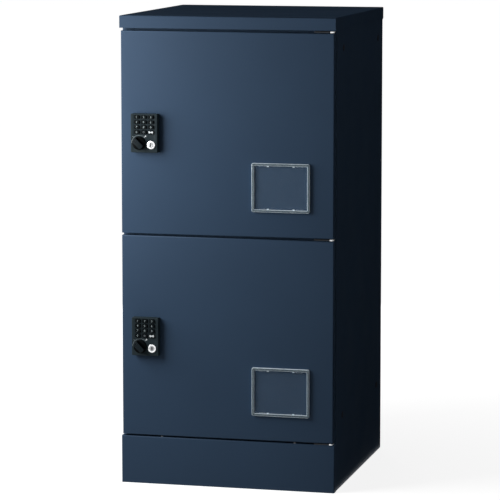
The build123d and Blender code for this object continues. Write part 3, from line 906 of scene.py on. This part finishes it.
@dataclass
class CabinetFittings:
    """Small fittings of the cabinet: side caps, rivets down the back and the plinth's screws."""

    cap_radius: float = 7.5 * MM
    cap_height: float = 0.9 * MM
    rivet_radius: float = 3.2 * MM
    rivet_height: float = 0.8 * MM
    rivets: int = 7
    rivet_span: Span = (60.0 * MM, 970.0 * MM)
    rear_flange: float = 252.8 * MM
    rivet_from_middle: float = 227.0 * MM
    ledge: float = 105.0 * MM
    ledge_screw: Span = (150.0 * MM, -244.5 * MM)
    body_side: float = 238.8 * MM
    cap_places: tuple[Span, ...] = (
        (-168.0 * MM, 157.5 * MM),
        (-168.0 * MM, 961.5 * MM),
        (199.0 * MM, 157.5 * MM),
        (199.0 * MM, 961.5 * MM),
    )

    def build(self) -> None:
        """Build all the fittings."""
        self.side_caps()
        self.rivet_rows()
        self.plinth_screws()

    def side_caps(self) -> None:
        """Make the eight domed caps that close the linking points of the sides."""
        mesh = bmesh.new()
        radius, height = self.cap_radius, self.cap_height
        profile = (
            (0.0, 0.0),
            (radius - 0.3 * MM, 0.0),
            (radius, 0.15 * height),
            (radius - 0.15 * MM, 0.6 * height),
            (radius - 1.2 * MM, 0.92 * height),
            (radius * 0.5, 0.99 * height),
            (0.0, height),
        )
        for side in (-1, 1):
            for y, z in self.cap_places:
                centre = Vector((side * self.body_side, y, z))
                turned(mesh, centre, profile, Vector((side, 0, 0)), 40)
        finished(
            mesh,
            "side_caps_domed",
            CAP_PLASTIC,
            "cabinet",
            Shade.SOFT,
            stands_for=("side_caps",),
        )

    def rivet_rows(self) -> None:
        """Make the row of blind rivets down each rear flange."""
        mesh = bmesh.new()
        radius, height = self.rivet_radius, self.rivet_height
        profile = (
            (0.0, 0.0),
            (radius, 0.0),
            (radius * 0.94, height * 0.45),
            (radius * 0.72, height * 0.85),
            (radius * 0.42, height),
            (radius * 0.36, height * 0.6),
            (0.0, height * 0.55),
        )
        low, high = self.rivet_span
        for side in (-1, 1):
            for index in range(self.rivets):
                z = low + (high - low) * index / (self.rivets - 1)
                centre = Vector((side * self.rivet_from_middle, self.rear_flange, z))
                turned(mesh, centre, profile, steps=20)
        finished(mesh, "rear_rivets", PAINT, "cabinet", Shade.SOFT)

    def plinth_screws(self) -> None:
        """Make the two pan-head screws in the plinth's ledge, under the lower door."""
        mesh = bmesh.new()
        across, depth = self.ledge_screw
        for side in (-1, 1):
            screw_head(mesh, Vector((side * across, depth, self.ledge)), Vector((0, 0, 1)))
        finished(mesh, "plinth_screws", SCREW_STEEL, "cabinet", shade=Shade.SOFT)


def screw_head(
    mesh: bmesh.types.BMesh, place: Vector, axis: Vector, radius: float = 3.6 * MM, height: float = 1.6 * MM
) -> None:
    """Add a pan head with a cross recess.

    Args:
        mesh: The mesh that it is added to.
        place: The middle of the head's underside.
        axis: The way the head faces, along Y or Z.
        radius: The head's radius.
        height: Its height.
    """
    part = bmesh.new()
    arm, half, flat = radius * 0.52, radius * 0.15, 0.72
    corners = []
    for quarter in range(4):
        turn = Matrix.Rotation(quarter * math.pi / 2, 3, "Y")
        corners += [turn @ Vector(corner) for corner in ((arm, 0, -half), (arm, 0, half), (half, 0, half))]
    verts = [part.verts.new(corner) for corner in corners]
    cross = [part.edges.new((verts[i - 1], verts[i])) for i in range(len(verts))]
    rim = round_outline(part, 0, 0, 0, radius * flat, 28)
    fill(part, cross, rim)
    for outline, steps in (
        (cross, ((0.25, height * 0.6),)),
        (rim, ((1.22, height * 0.16), (1.36, height * 0.45), (1.0 / flat, height))),
    ):
        loop, scale_now, depth_now = outline, 1.0, 0.0
        for scale, depth in steps:
            made = bmesh.ops.extrude_edge_only(part, edges=loop)["geom"]
            points = [item for item in made if isinstance(item, bmesh.types.BMVert)]
            ratio = scale / scale_now
            bmesh.ops.scale(part, vec=(ratio, 1, ratio), verts=points)
            bmesh.ops.translate(part, vec=(0, depth - depth_now, 0), verts=points)
            scale_now, depth_now = scale, depth
            loop = [item for item in made if isinstance(item, bmesh.types.BMEdge)]
        fill(part, loop)
    front = Vector((0, -1, 0)).rotation_difference(axis).to_matrix().to_4x4()
    upright = Matrix.Translation(place + axis * height) @ front
    bmesh.ops.transform(part, matrix=upright, verts=part.verts)
    absorb(mesh, part)


# Lock


@dataclass
class Lock:
    """The combination lock on one door: housing, push buttons, knob, key cylinder and prints."""

    place: DoorPlace
    front: float = -269.0 * MM
    door_front: float = -254.0 * MM
    wall: float = 2.4 * MM
    side_wall: float = 1.8 * MM
    corner: float = 2.0 * MM
    knob_hole: float = 6.4 * MM
    cylinder_hole: float = 7.8 * MM
    key_hole_corner: float = 0.9 * MM
    shell_round: float = 0.9 * MM
    hole_round: float = 0.25 * MM
    keys: tuple[str, ...] = ("1", "2", "3", "4", "5", "6", "7", "8", "9", "0", "set", "clear")
    key_size: Span = (11.5 * MM, 7.5 * MM)
    key_proud: float = 3.0 * MM
    key_gap: float = 0.2 * MM
    key_corner: float = 1.1 * MM
    key_round: float = 0.55 * MM
    flange: float = 0.9 * MM
    flange_depth: float = 1.4 * MM
    flange_corner: float = 0.5 * MM
    digit_size: float = 6.4 * MM
    ring_radii: Span = (2.0 * MM, 1.2 * MM)
    block_corner: float = 0.4 * MM
    blocks: tuple[Point, ...] = (
        (-4.9 * MM, -1.7 * MM, 2.1 * MM),
        (-1.4 * MM, 1.4 * MM, 1.3 * MM),
        (1.7 * MM, 4.9 * MM, 2.1 * MM),
    )
    knob_radius: float = 14.7 * MM
    knob_proud: float = 15.0 * MM
    hub_radius: float = 6.0 * MM
    disc_gap: float = 0.25 * MM
    disc_thickness: float = 3.0 * MM
    grip_halves: Span = (6.9 * MM, 5.5 * MM)
    grip_inset: float = 0.9 * MM
    grip_sunk: float = 0.4 * MM
    grip_taper: float = 0.975
    grip_round: float = 0.9 * MM
    grip_front: float = 1.2 * MM
    pointer_half: float = 2.3 * MM
    pointer_span: Span = (6.6 * MM, 11.6 * MM)
    pointer_line: float = 0.55 * MM
    pointer_corners: Span = (2.0 * MM, 1.5 * MM)
    ring_radius: float = 9.3 * MM
    ring_proud: float = 3.0 * MM
    barrel_radius: float = 7.6 * MM
    barrel_length: float = 41.6 * MM
    bore_radius: float = 5.5 * MM
    bore_bottom: float = 3.0 * MM
    plug_radius: float = 5.4 * MM
    plug_proud: float = 2.6 * MM
    plug_length: float = 22.0 * MM
    plug_round: float = 0.2 * MM
    keyway_halves: Span = (1.1 * MM, 3.7 * MM)
    keyway_corner: float = 0.5 * MM
    keyway_margin: float = 0.3 * MM
    print_height: float = 0.05 * MM
    print_sunk: float = 0.02 * MM
    arc_radii: Span = (16.7 * MM, 17.3 * MM)
    arc_turn: float = 132.0
    locked_angle: float = -45.0
    open_angle: float = 43.0
    dash_span: Span = (18.3 * MM, 21.0 * MM)
    tail_span: Span = (17.4 * MM, 19.6 * MM)
    dash_half: float = 0.55 * MM
    tail_half: float = 0.5 * MM
    dot_reach: float = 21.0 * MM
    dot_radius: float = 1.7 * MM
    screw_inset: float = 7.0 * MM

    def __post_init__(self) -> None:
        """Read the lock's place from the CAD nodes."""
        self.prefix = self.place.value
        self.body = f"{self.prefix}_door"
        self.key_halves = tuple(size / 2 for size in self.key_size)
        self.low, self.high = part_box(f"{self.prefix}_lock_housing")
        self.knob = sum(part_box(f"{self.prefix}_knob"), Vector()) / 2
        self.cylinder = sum(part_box(f"{self.prefix}_key_plug"), Vector()) / 2

    def build(self) -> None:
        """Build every piece of the lock."""
        self.housing()
        for name in self.keys:
            self.push_button(name)
        self.knob_piece()
        self.cylinder_ring()
        self.key_plug()
        self.marks()
        self.case_screws()

    def key_middle(self, name: str) -> Vector:
        """The middle of the front face of the push button of a name."""
        low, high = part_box(f"{self.prefix}_button_{name}")
        return Vector(((low.x + high.x) / 2, low.y, (low.z + high.z) / 2))

    def housing(self) -> None:
        """Build the moulded shell, with an opening for each button, the knob and the cylinder."""
        mesh = bmesh.new()
        x_span, z_span = (self.low.x, self.high.x), (self.low.z, self.high.z)
        inner_x = (self.low.x + self.side_wall, self.high.x - self.side_wall)
        inner_z = (self.low.z + self.side_wall, self.high.z - self.side_wall)
        outer = rounded_outline(mesh, x_span, z_span, self.front, self.corner, 6)
        inner = rounded_outline(mesh, inner_x, inner_z, self.front, 0)
        holes = []
        half_x, half_z = (half + self.key_gap for half in self.key_halves)
        for name in self.keys:
            spans = around(self.key_middle(name), half_x, half_z)
            holes.append(rounded_outline(mesh, *spans, self.front, self.key_hole_corner, 3))
        for point, radius in ((self.knob, self.knob_hole), (self.cylinder, self.cylinder_hole)):
            holes.append(round_outline(mesh, point.x, self.front, point.z, radius, 40))
        ring = fill(mesh, outer, inner)
        web = fill(mesh, inner, *holes)
        pull(mesh, ring + web, (0, self.wall, 0))
        set_normals(mesh)
        back = self.front + self.wall
        skirt = [
            face
            for face in mesh.faces
            if at_depth(face, back) and not inside(face.calc_center_median(), inner_x, inner_z)
        ]
        pull(mesh, skirt, (0, self.door_front - back, 0))
        set_normals(mesh)
        outside_rim, hole_rims = [], []
        for item in rims(mesh, self.front):
            point = (item.verts[0].co + item.verts[1].co) / 2
            to_sides = (point.x - x_span[0], x_span[1] - point.x, point.z - z_span[0], z_span[1] - point.z)
            (outside_rim if min(to_sides) < self.corner else hole_rims).append(item)
        soften(mesh, outside_rim, self.shell_round, 4)
        soften(mesh, [item for item in hole_rims if item.is_valid], self.hole_round, 2)
        finished(
            mesh,
            f"{self.prefix}_lock_shell",
            LOCK_PLASTIC,
            self.body,
            stands_for=(f"{self.prefix}_lock_housing",),
        )

    def push_button(self, name: str) -> None:
        """Build one push button with its rounded cap, its retaining flange and its print.

        Args:
            name: The button's name.
        """
        mesh = bmesh.new()
        middle = self.key_middle(name)
        body = f"{self.prefix}_button_{name}"
        half_x, half_z = self.key_halves
        spans = around(middle, half_x, half_z)
        cap = fill(mesh, rounded_outline(mesh, *spans, middle.y, self.key_corner, 4))
        pull(mesh, cap, (0, self.key_proud + self.wall + self.key_gap, 0))
        set_normals(mesh)
        soften(mesh, rims(mesh, middle.y), self.key_round, 3)
        wide = around(middle, half_x + self.flange, half_z + self.flange)
        flange_front = self.front + self.wall + self.key_gap
        lip = fill(mesh, rounded_outline(mesh, *wide, flange_front, self.flange_corner, 2))
        pull(mesh, lip, (0, self.flange_depth, 0))
        finished(mesh, body + "_cap", KEY_PLASTIC, body, stands_for=(body,))
        self.button_print(name, middle + Vector((0, NEAR, 0)), body)

    def button_print(self, name: str, place: Vector, body: str) -> None:
        """Build the print on a push button: a digit, a dim ring or three pale blocks.

        Args:
            name: The button's name.
            place: The middle of its print, at its back.
            body: The body that it rides on.
        """
        if name.isdigit():
            mesh = lettering(name, self.digit_size, place, self.print_height)
            finished(mesh, body + "_print", INK, body)
            return
        mesh = bmesh.new()
        if name == "set":
            outlines = [round_outline(mesh, *place, radius, 28) for radius in self.ring_radii]
            faces = fill(mesh, *outlines)
            ink = DIM_INK
        else:
            faces = []
            for left, right, half_z in self.blocks:
                spans = ((place.x + left, place.x + right), (place.z - half_z, place.z + half_z))
                faces += fill(mesh, rounded_outline(mesh, *spans, place.y, self.block_corner, 3))
            ink = BRIGHT_INK
        pull(mesh, faces, (0, -self.print_height, 0))
        finished(mesh, body + "_print", ink, body)

    def from_axis(self, point: Vector, degrees: float) -> Matrix:
        """The place and turn of something that points away from an axis, clockwise from straight up."""
        return Matrix.Translation(point) @ Matrix.Rotation(math.radians(degrees), 4, "Y")

    def knob_piece(self) -> None:
        """Build the knob: a turned disc and hub, and a drafted grip with rounded edges."""
        mesh = bmesh.new()
        radius = self.knob_radius
        back = -self.disc_gap
        face = back - self.disc_thickness
        centre = Vector((self.knob.x, self.front, self.knob.z))
        profile = (
            (0.0, self.wall),
            (self.hub_radius, self.wall),
            (self.hub_radius, back),
            (radius - 0.2 * MM, back),
            (radius, back - 0.3 * MM),
            (radius, face + 0.9 * MM),
            (radius - 0.3 * MM, face + 0.3 * MM),
            (radius - 0.9 * MM, face),
            (0.0, face),
        )
        turned(mesh, centre, profile, steps=72)
        self.grip(mesh, centre, face)
        piece = finished(
            mesh,
            f"{self.prefix}_knob_turned",
            KNOB_PLASTIC,
            f"{self.prefix}_knob",
            Shade.TURNED,
            stands_for=(f"{self.prefix}_knob",),
        )
        # The grip's front faces get the lighter copy of the knob plastic: a painted highlight where the grip
        # faces the light.
        grip_edge = self.front - self.knob_proud + self.grip_front
        dress_faces(piece, (GRIP_FACE_PAINTED_HIGHLIGHT,), lambda polygon: int(polygon.center.y < grip_edge))
        self.pointer(centre)

    def grip(self, mesh: bmesh.types.BMesh, centre: Vector, face: float) -> None:
        """Add the knob's grip bar, which points up and to the left.

        Args:
            mesh: The knob's mesh.
            centre: The point of the knob's axis on the housing.
            face: The depth of the disc's front, from the housing.
        """
        part = bmesh.new()
        foot, top = self.grip_halves
        start = face + self.grip_sunk
        bmesh.ops.create_circle(
            part,
            cap_ends=True,
            radius=self.knob_radius - self.grip_inset,
            segments=96,
            matrix=Matrix.Rotation(math.pi / 2, 4, "X"),
        )
        for side in (-1, 1):
            bmesh.ops.bisect_plane(
                part,
                geom=part.verts[:] + part.edges[:] + part.faces[:],
                dist=MERGE,
                plane_co=(side * foot, 0, 0),
                plane_no=(side, 0, 0),
                clear_outer=True,
            )
        bmesh.ops.translate(part, verts=part.verts, vec=(0, start, 0))
        end = pull(part, part.faces[:], (0, -self.knob_proud - start, 0))
        tip = [vert for end_face in end for vert in end_face.verts]
        bmesh.ops.scale(part, vec=(top / foot, 1, self.grip_taper), verts=tip)
        set_normals(part)
        soften(part, rims(part, -self.knob_proud), self.grip_round, 4)
        bmesh.ops.transform(part, matrix=self.from_axis(centre, self.locked_angle), verts=part.verts)
        absorb(mesh, part)

    def pointer(self, centre: Vector) -> None:
        """Build the outlined pointer print at the end of the grip.

        Args:
            centre: The point of the knob's axis on the housing.
        """
        mesh = bmesh.new()
        half, line = self.pointer_half, self.pointer_line
        low, high = self.pointer_span
        outer_corner, inner_corner = self.pointer_corners
        y = self.print_height - self.knob_proud
        outer = rounded_outline(mesh, (-half, half), (low, high), y, outer_corner, 6)
        spans = ((line - half, half - line), (low + line, high - line))
        inner = rounded_outline(mesh, *spans, y, inner_corner, 6)
        pull(mesh, fill(mesh, outer, inner), (0, -self.print_height, 0))
        bmesh.ops.transform(mesh, matrix=self.from_axis(centre, self.locked_angle), verts=mesh.verts)
        finished(mesh, f"{self.prefix}_knob_pointer", INK, f"{self.prefix}_knob")

    def cylinder_ring(self) -> None:
        """Build the key cylinder's bright face ring and barrel."""
        mesh = bmesh.new()
        centre = Vector((self.cylinder.x, self.front, self.cylinder.z))
        bore, ring, barrel = self.bore_radius, self.ring_radius, self.barrel_radius
        face, deep = -self.ring_proud, self.barrel_length
        profile = (
            (0.0, deep - self.bore_bottom),
            (bore, deep - self.bore_bottom),
            (bore, face + 0.45 * MM),
            (bore + 0.35 * MM, face),
            (ring - 1.3 * MM, face),
            (ring - 0.5 * MM, face + 0.25 * MM),
            (ring - 0.1 * MM, face + 0.9 * MM),
            (ring, -0.3 * MM),
            (ring - 0.1 * MM, 0.0),
            (barrel, 0.0),
            (barrel, deep),
            (0.0, deep),
        )
        turned(mesh, centre, profile, steps=64)
        finished(
            mesh,
            f"{self.prefix}_cylinder_turned",
            CHROME,
            self.body,
            Shade.TURNED,
            40.0,
            (f"{self.prefix}_cylinder_body",),
        )

    def key_plug(self) -> None:
        """Build the plug that turns with the key, with its keyway."""
        mesh = bmesh.new()
        point = Vector((self.cylinder.x, self.front - self.plug_proud, self.cylinder.z))
        outer = round_outline(mesh, *point, self.plug_radius, 56)
        keyway = rounded_outline(mesh, *around(point, *self.keyway_halves), point.y, self.keyway_corner, 3)
        pull(mesh, fill(mesh, outer, keyway), (0, self.plug_length, 0))
        set_normals(mesh)
        soften(mesh, rims(mesh, point.y), self.plug_round, 2)
        piece = finished(
            mesh,
            f"{self.prefix}_key_plug_turned",
            PLUG_STEEL,
            f"{self.prefix}_key_plug",
            Shade.TURNED,
            40.0,
            (f"{self.prefix}_key_plug",),
        )
        keyway_spans = around(point, *(half + self.keyway_margin for half in self.keyway_halves))

        def finish_of(face: bpy.types.MeshPolygon) -> int:
            """Painted shade, 1, on the keyway's walls, and the plug's own finish, 0, elsewhere."""
            return int(inside(face.center, *keyway_spans) and abs(face.normal.y) < 0.98)

        dress_faces(piece, (KEYWAY_PAINTED_SHADE,), finish_of)

    def marks(self) -> None:
        """Build the prints round the knob: a thin arc with a dash, and a dot with a short tail."""
        y = self.front + self.print_sunk
        centre = Vector((self.knob.x, y, self.knob.z))
        mesh = bmesh.new()
        verts = [mesh.verts.new(centre + Vector((-reach, 0, 0))) for reach in self.arc_radii]
        edge = mesh.edges.new(verts)
        bmesh.ops.spin(
            mesh,
            geom=verts + [edge],
            cent=centre,
            axis=(0, 1, 0),
            angle=math.radians(self.arc_turn),
            steps=36,
            use_merge=False,
        )
        self.bar(mesh, centre, self.locked_angle, self.dash_span, self.dash_half)
        pull(mesh, mesh.faces[:], (0, -self.print_height, 0))
        finished(mesh, f"{self.prefix}_lock_arc", ARC_INK, self.body)
        mesh = bmesh.new()
        self.bar(mesh, centre, self.open_angle, self.tail_span, self.tail_half)
        spot = self.from_axis(centre, self.open_angle) @ Vector((0, 0, self.dot_reach))
        fill(mesh, round_outline(mesh, spot.x, y, spot.z, self.dot_radius, 28))
        pull(mesh, mesh.faces[:], (0, -self.print_height, 0))
        finished(mesh, f"{self.prefix}_lock_dot", BRIGHT_INK, self.body)

    def bar(self, mesh: bmesh.types.BMesh, centre: Vector, angle: float, span: Span, half: float) -> None:
        """Add a flat bar that points away from the knob's axis.

        Args:
            mesh: The mesh that it is added to.
            centre: The point of the knob's axis.
            angle: Degrees from straight up, clockwise as seen from the front.
            span: Its inner and outer end, from the axis.
            half: Half its width.
        """
        before = set(mesh.verts)
        fill(mesh, rounded_outline(mesh, (-half, half), span, 0, half * 0.8, 3))
        verts = [vert for vert in mesh.verts if vert not in before]
        bmesh.ops.transform(mesh, matrix=self.from_axis(centre, angle), verts=verts)

    def case_screws(self) -> None:
        """Build the two screws in the back of the lock case, inside the door."""
        mesh = bmesh.new()
        low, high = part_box(f"{self.prefix}_lock_case")
        for x in (low.x + self.screw_inset, high.x - self.screw_inset):
            screw_head(mesh, Vector((x, high.y, high.z - self.screw_inset)), Vector((0, 1, 0)))
        finished(mesh, f"{self.prefix}_case_screws", SCREW_STEEL, self.body, shade=Shade.SOFT)


# Label holder


@dataclass
class LabelHolder:
    """The clear label holder of one door: a raised rim round a recessed window, with small tabs."""

    place: DoorPlace
    rim: float = 5.6 * MM
    corner: float = 4.0 * MM
    recess: float = 2.2 * MM
    window: float = 1.6 * MM
    window_corner: float = 0.8 * MM
    window_face: float = 2.5 * MM
    rim_round: float = 0.7 * MM
    tabs: tuple[Span, ...] = ((17.0 * MM, 12.0 * MM), (33.5 * MM, 4.5 * MM))
    tab_reach: float = 2.3 * MM
    tab_depth: float = 1.2 * MM
    tab_corner: float = 0.3 * MM
    tab_sunk: float = 0.02 * MM

    def build(self) -> None:
        """Build the holder."""
        node = f"{self.place.value}_label_holder"
        low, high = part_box(node)
        mesh = bmesh.new()
        y = low.y + self.recess
        back = y + self.window
        inner_x = (low.x + self.rim, high.x - self.rim)
        inner_z = (low.z + self.rim, high.z - self.rim)
        outer = rounded_outline(mesh, (low.x, high.x), (low.z, high.z), y, self.corner, 8)
        inner = rounded_outline(mesh, inner_x, inner_z, y, self.window_corner, 3)
        ring = fill(mesh, outer, inner)
        pane = fill(mesh, inner)
        pull(mesh, ring + pane, (0, self.window, 0))
        set_normals(mesh)
        for depth, distance in ((y, -self.recess), (back, high.y - back)):
            rim_faces = [
                face
                for face in mesh.faces
                if at_depth(face, depth) and not inside(face.calc_center_median(), inner_x, inner_z)
            ]
            pull(mesh, rim_faces, (0, distance, 0))
        set_normals(mesh)
        soften(mesh, rims(mesh, low.y), self.rim_round, 4)
        for offset, width in self.tabs:
            for x in (low.x + offset, high.x - offset - width):
                for z in (inner_z[0], inner_z[1] - self.tab_reach):
                    self.tab(mesh, (x, x + width), (z, z + self.tab_reach), y)
        piece = finished(
            mesh,
            f"{self.place.value}_label_frame",
            CLEAR,
            f"{self.place.value}_door",
            stands_for=(node,),
        )

        def finish_of(face: bpy.types.MeshPolygon) -> int:
            """Choose a face's finish.

            Args:
                face: The face.

            Returns:
                0 for the window, 1 for the rim's paler copy on its level faces, and 2, a painted highlight,
                for edges and tabs.
            """
            in_window = inside(face.center, inner_x, inner_z)
            level = abs(face.normal.y) > 0.99
            if in_window and level and face.area > self.window_face**2:
                return 0
            return 1 if level and not in_window else 2

        # The edge faces and tab sides get the painted highlight.
        dress_faces(piece, (PALE_RIM_ACRYLIC, EDGE_PAINTED_HIGHLIGHT), finish_of)

    def tab(self, mesh: bmesh.types.BMesh, x_span: Span, z_span: Span, y: float) -> None:
        """Add one small tab that keeps the card in.

        Args:
            mesh: The holder's mesh.
            x_span: Its left and right edge.
            z_span: Its lower and upper edge.
            y: The depth of the window's face.
        """
        outline = rounded_outline(mesh, x_span, z_span, y - self.tab_depth, self.tab_corner, 2)
        pull(mesh, fill(mesh, outline), (0, self.tab_depth - self.tab_sunk, 0))


# Studio


@dataclass(frozen=True)
class Lamp:
    """One square soft lamp: its place, what it faces, its side and its power in watts."""

    name: str
    place: Point
    target: Point
    size: float
    power: float
    mirrored: bool = True

    def hang(self) -> None:
        """Hang the lamp, which the camera doesn't see, nor a glossy surface unless it is mirrored."""
        data = bpy.data.lights.new(self.name, "AREA")
        data.shape = "SQUARE"
        data.size = self.size
        data.energy = self.power
        lamp = bpy.data.objects.new(self.name, data)
        lamp.location = self.place
        aim = Vector(self.target) - Vector(self.place)
        lamp.rotation_euler = aim.to_track_quat("-Z", "Y").to_euler()
        lamp.visible_camera = False
        lamp.visible_glossy = self.mirrored
        bpy.context.scene.collection.objects.link(lamp)


@dataclass
class Studio:
    """Floor, soft lamps, world and the camera at the photograph's angle."""

    sensor: float = 36.0
    focal_pixels: float = 2773.4
    frame_pixels: float = 500.0
    centre_pixels: Span = (262.5, 220.0)
    yaw: float = -13.97
    pitch: float = 7.14
    roll: float = 0.01
    eye: Point = (1.5126, -6.0132, 1.3365)
    floor_size: float = 30.0
    floor_glow: float = 0.88
    glow_span: Span = (0.35, 1.6)
    room: float = 0.02
    card_fold: Point = (0.8, 0.62, 0.002)
    card_size: float = 3.3
    foot_shift: float = 1.094
    card_level: float = 0.012
    flag_reach: float = 0.262
    flag_span: Span = (1.036, 1.5)
    lamps: tuple[Lamp, ...] = (
        Lamp("key", (-0.74, -0.67, 0.92), (0.0, -0.254, 0.68), size=0.78, power=17.4),
        Lamp("fill", (-0.4, -3.2, 1.0), (0.0, -0.25, 0.5), size=1.6, power=2.0),
        Lamp("rear", (-0.5, 2.3, 0.5), (0.0, 0.25, 0.5), size=0.9, power=14.0, mirrored=False),
    )

    def build(self) -> None:
        """Set up the whole studio."""
        bpy.context.scene.view_settings.view_transform = "Standard"
        self.floor()
        self.dark_card()
        self.lamp_flag()
        self.world()
        for lamp in self.lamps:
            lamp.hang()
        self.camera()

    def camera(self) -> None:
        """Place the camera as fitted to the object's corners."""
        data = bpy.data.cameras.new("camera")
        data.sensor_width = self.sensor
        data.lens = self.focal_pixels / self.frame_pixels * self.sensor
        middle = self.frame_pixels / 2
        data.shift_x = (middle - self.centre_pixels[0]) / self.frame_pixels
        data.shift_y = (self.centre_pixels[1] - middle) / self.frame_pixels
        data.clip_end = 100.0
        camera = bpy.data.objects.new("camera", data)
        bpy.context.scene.collection.objects.link(camera)
        turn = (
            Matrix.Rotation(math.radians(self.roll), 3, "Y")
            @ Matrix.Rotation(math.radians(self.pitch), 3, "X")
            @ Matrix.Rotation(math.radians(self.yaw), 3, "Z")
        )
        right, ahead, up = turn[0], turn[1], turn[2]
        basis = Matrix((right, up, -Vector(ahead))).transposed().to_4x4()
        camera.matrix_world = Matrix.Translation(self.eye) @ basis
        bpy.context.scene.camera = camera

    def background_rays(self, graph: Graph) -> Socket:
        """Tell the rays that show the white background from those that light the object.

        Args:
            graph: The nodes that ask.

        Returns:
            1 for what the camera sees, directly, in a reflection or through glass, and 0 for light.
        """
        path = graph.add("ShaderNodeLightPath")
        total = path.outputs["Is Camera Ray"]
        for name in ("Is Glossy Ray", "Is Transmission Ray"):
            total = graph.combine("ADD", total, path.outputs[name], use_clamp=True)
        return total

    def matte(self, graph: Graph, scale: float, dark: float, pale: float) -> Socket:
        """Add a matte surface of a slightly uneven grey.

        Args:
            graph: The nodes that it is added to.
            scale: Waves per metre of its patches.
            dark: Its darker grey.
            pale: Its paler grey.

        Returns:
            The surface.
        """
        diffuse = graph.add("ShaderNodeBsdfDiffuse")
        graph.link(graph.mix(graph.cloud(scale), (dark,) * 3, (pale,) * 3), diffuse.inputs["Color"])
        return diffuse.outputs["BSDF"]

    def staged(self, name: str, mesh: bmesh.types.BMesh, graph: Graph, *unseen: str) -> None:
        """Turn a mesh into a piece of the studio.

        Args:
            name: The object's name.
            mesh: Its mesh, which is used up.
            graph: The nodes of its material.
            unseen: The kinds of rays that pass it.
        """
        data = bpy.data.meshes.new(name)
        mesh.to_mesh(data)
        mesh.free()
        data.materials.append(graph.holder)
        staged = bpy.data.objects.new(name, data)
        bpy.context.scene.collection.objects.link(staged)
        for ray in unseen:
            setattr(staged, f"visible_{ray}", False)

    def floor(self) -> None:
        """Lay the pale floor, which shows the object's soft shadow on white."""
        mesh = bmesh.new()
        bmesh.ops.create_grid(mesh, x_segments=2, y_segments=2, size=self.floor_size)
        graph = Graph(bpy.data.materials.new("studio_floor"))
        reach = graph.add("ShaderNodeVectorMath", operation="LENGTH")
        graph.link(graph.place, reach.inputs[0])
        far = graph.spread(reach.outputs["Value"], self.floor_glow, 1.0, *self.glow_span)
        glow = graph.add("ShaderNodeEmission")
        graph.link(graph.combine("MULTIPLY", far, self.background_rays(graph)), glow.inputs["Strength"])
        both = graph.add("ShaderNodeAddShader")
        graph.link(self.matte(graph, 2.0, 0.32, 0.34), both.inputs[0])
        graph.link(glow.outputs["Emission"], both.inputs[1])
        graph.link(both.outputs["Shader"], graph.output.inputs["Surface"])
        graph.holder.cycles.emission_sampling = "NONE"
        self.staged("floor", mesh, graph)

    def dark_card(self) -> None:
        """Stand a dark folded card behind, met by reflections alone, that keeps side and top dark."""
        mesh = bmesh.new()
        half = self.card_size / 2
        fold = Vector(self.card_fold)
        wall = Matrix.Translation(fold + Vector((0, 0, half))) @ Matrix.Rotation(math.pi / 2, 4, "X")
        foot = Matrix.Translation(fold + Vector((self.foot_shift, -half, 0)))
        for matrix in (wall, foot):
            bmesh.ops.create_grid(mesh, x_segments=1, y_segments=1, size=half, matrix=matrix)
        graph = Graph(bpy.data.materials.new("dark_card_cloth"))
        glow = graph.add("ShaderNodeEmission")
        level = graph.spread(graph.noise(3.0), self.card_level * 0.8, self.card_level * 1.2)
        graph.link(level, glow.inputs["Strength"])
        graph.link(glow.outputs["Emission"], graph.output.inputs["Surface"])
        self.staged("dark_card", mesh, graph, "camera", "diffuse", "shadow")

    def lamp_flag(self) -> None:
        """Hang a folded flag that keeps the key lamp off the cabinet's top, and is itself not seen."""
        mesh = bmesh.new()
        side = self.flag_reach
        low, high = self.flag_span
        path = ((-side, side), (-side, -side), (side, -side))
        lower, upper = ([mesh.verts.new((x, y, z)) for x, y in path] for z in (low, high))
        for left in (0, 1):
            mesh.faces.new((lower[left], lower[left + 1], upper[left + 1], upper[left]))
        graph = Graph(bpy.data.materials.new("flag_cloth"))
        graph.link(self.matte(graph, 5.0, 0.004, 0.008), graph.output.inputs["Surface"])
        self.staged("lamp_flag", mesh, graph, "camera", "diffuse", "glossy", "transmission")

    def world(self) -> None:
        """Make the world the white background, and to the object the faint light of a dim room."""
        world = bpy.data.worlds.new("studio")
        graph = Graph(world, "ShaderNodeOutputWorld")
        background = graph.add("ShaderNodeBackground")
        level = graph.spread(self.background_rays(graph), self.room, 1.0, 0.0, 1.0)
        background.inputs["Color"].default_value = (1, 1, 1, 1)
        graph.link(level, background.inputs["Strength"])
        graph.link(background.outputs["Background"], graph.output.inputs["Surface"])
        bpy.context.scene.world = world


def main() -> None:
    """Build the locker's looks and the studio."""
    SheetWork().build()
    CabinetFittings().build()
    for place in DoorPlace:
        Lock(place).build()
        LabelHolder(place).build()
    Studio().build()


if __name__ == "__main__":
    main()
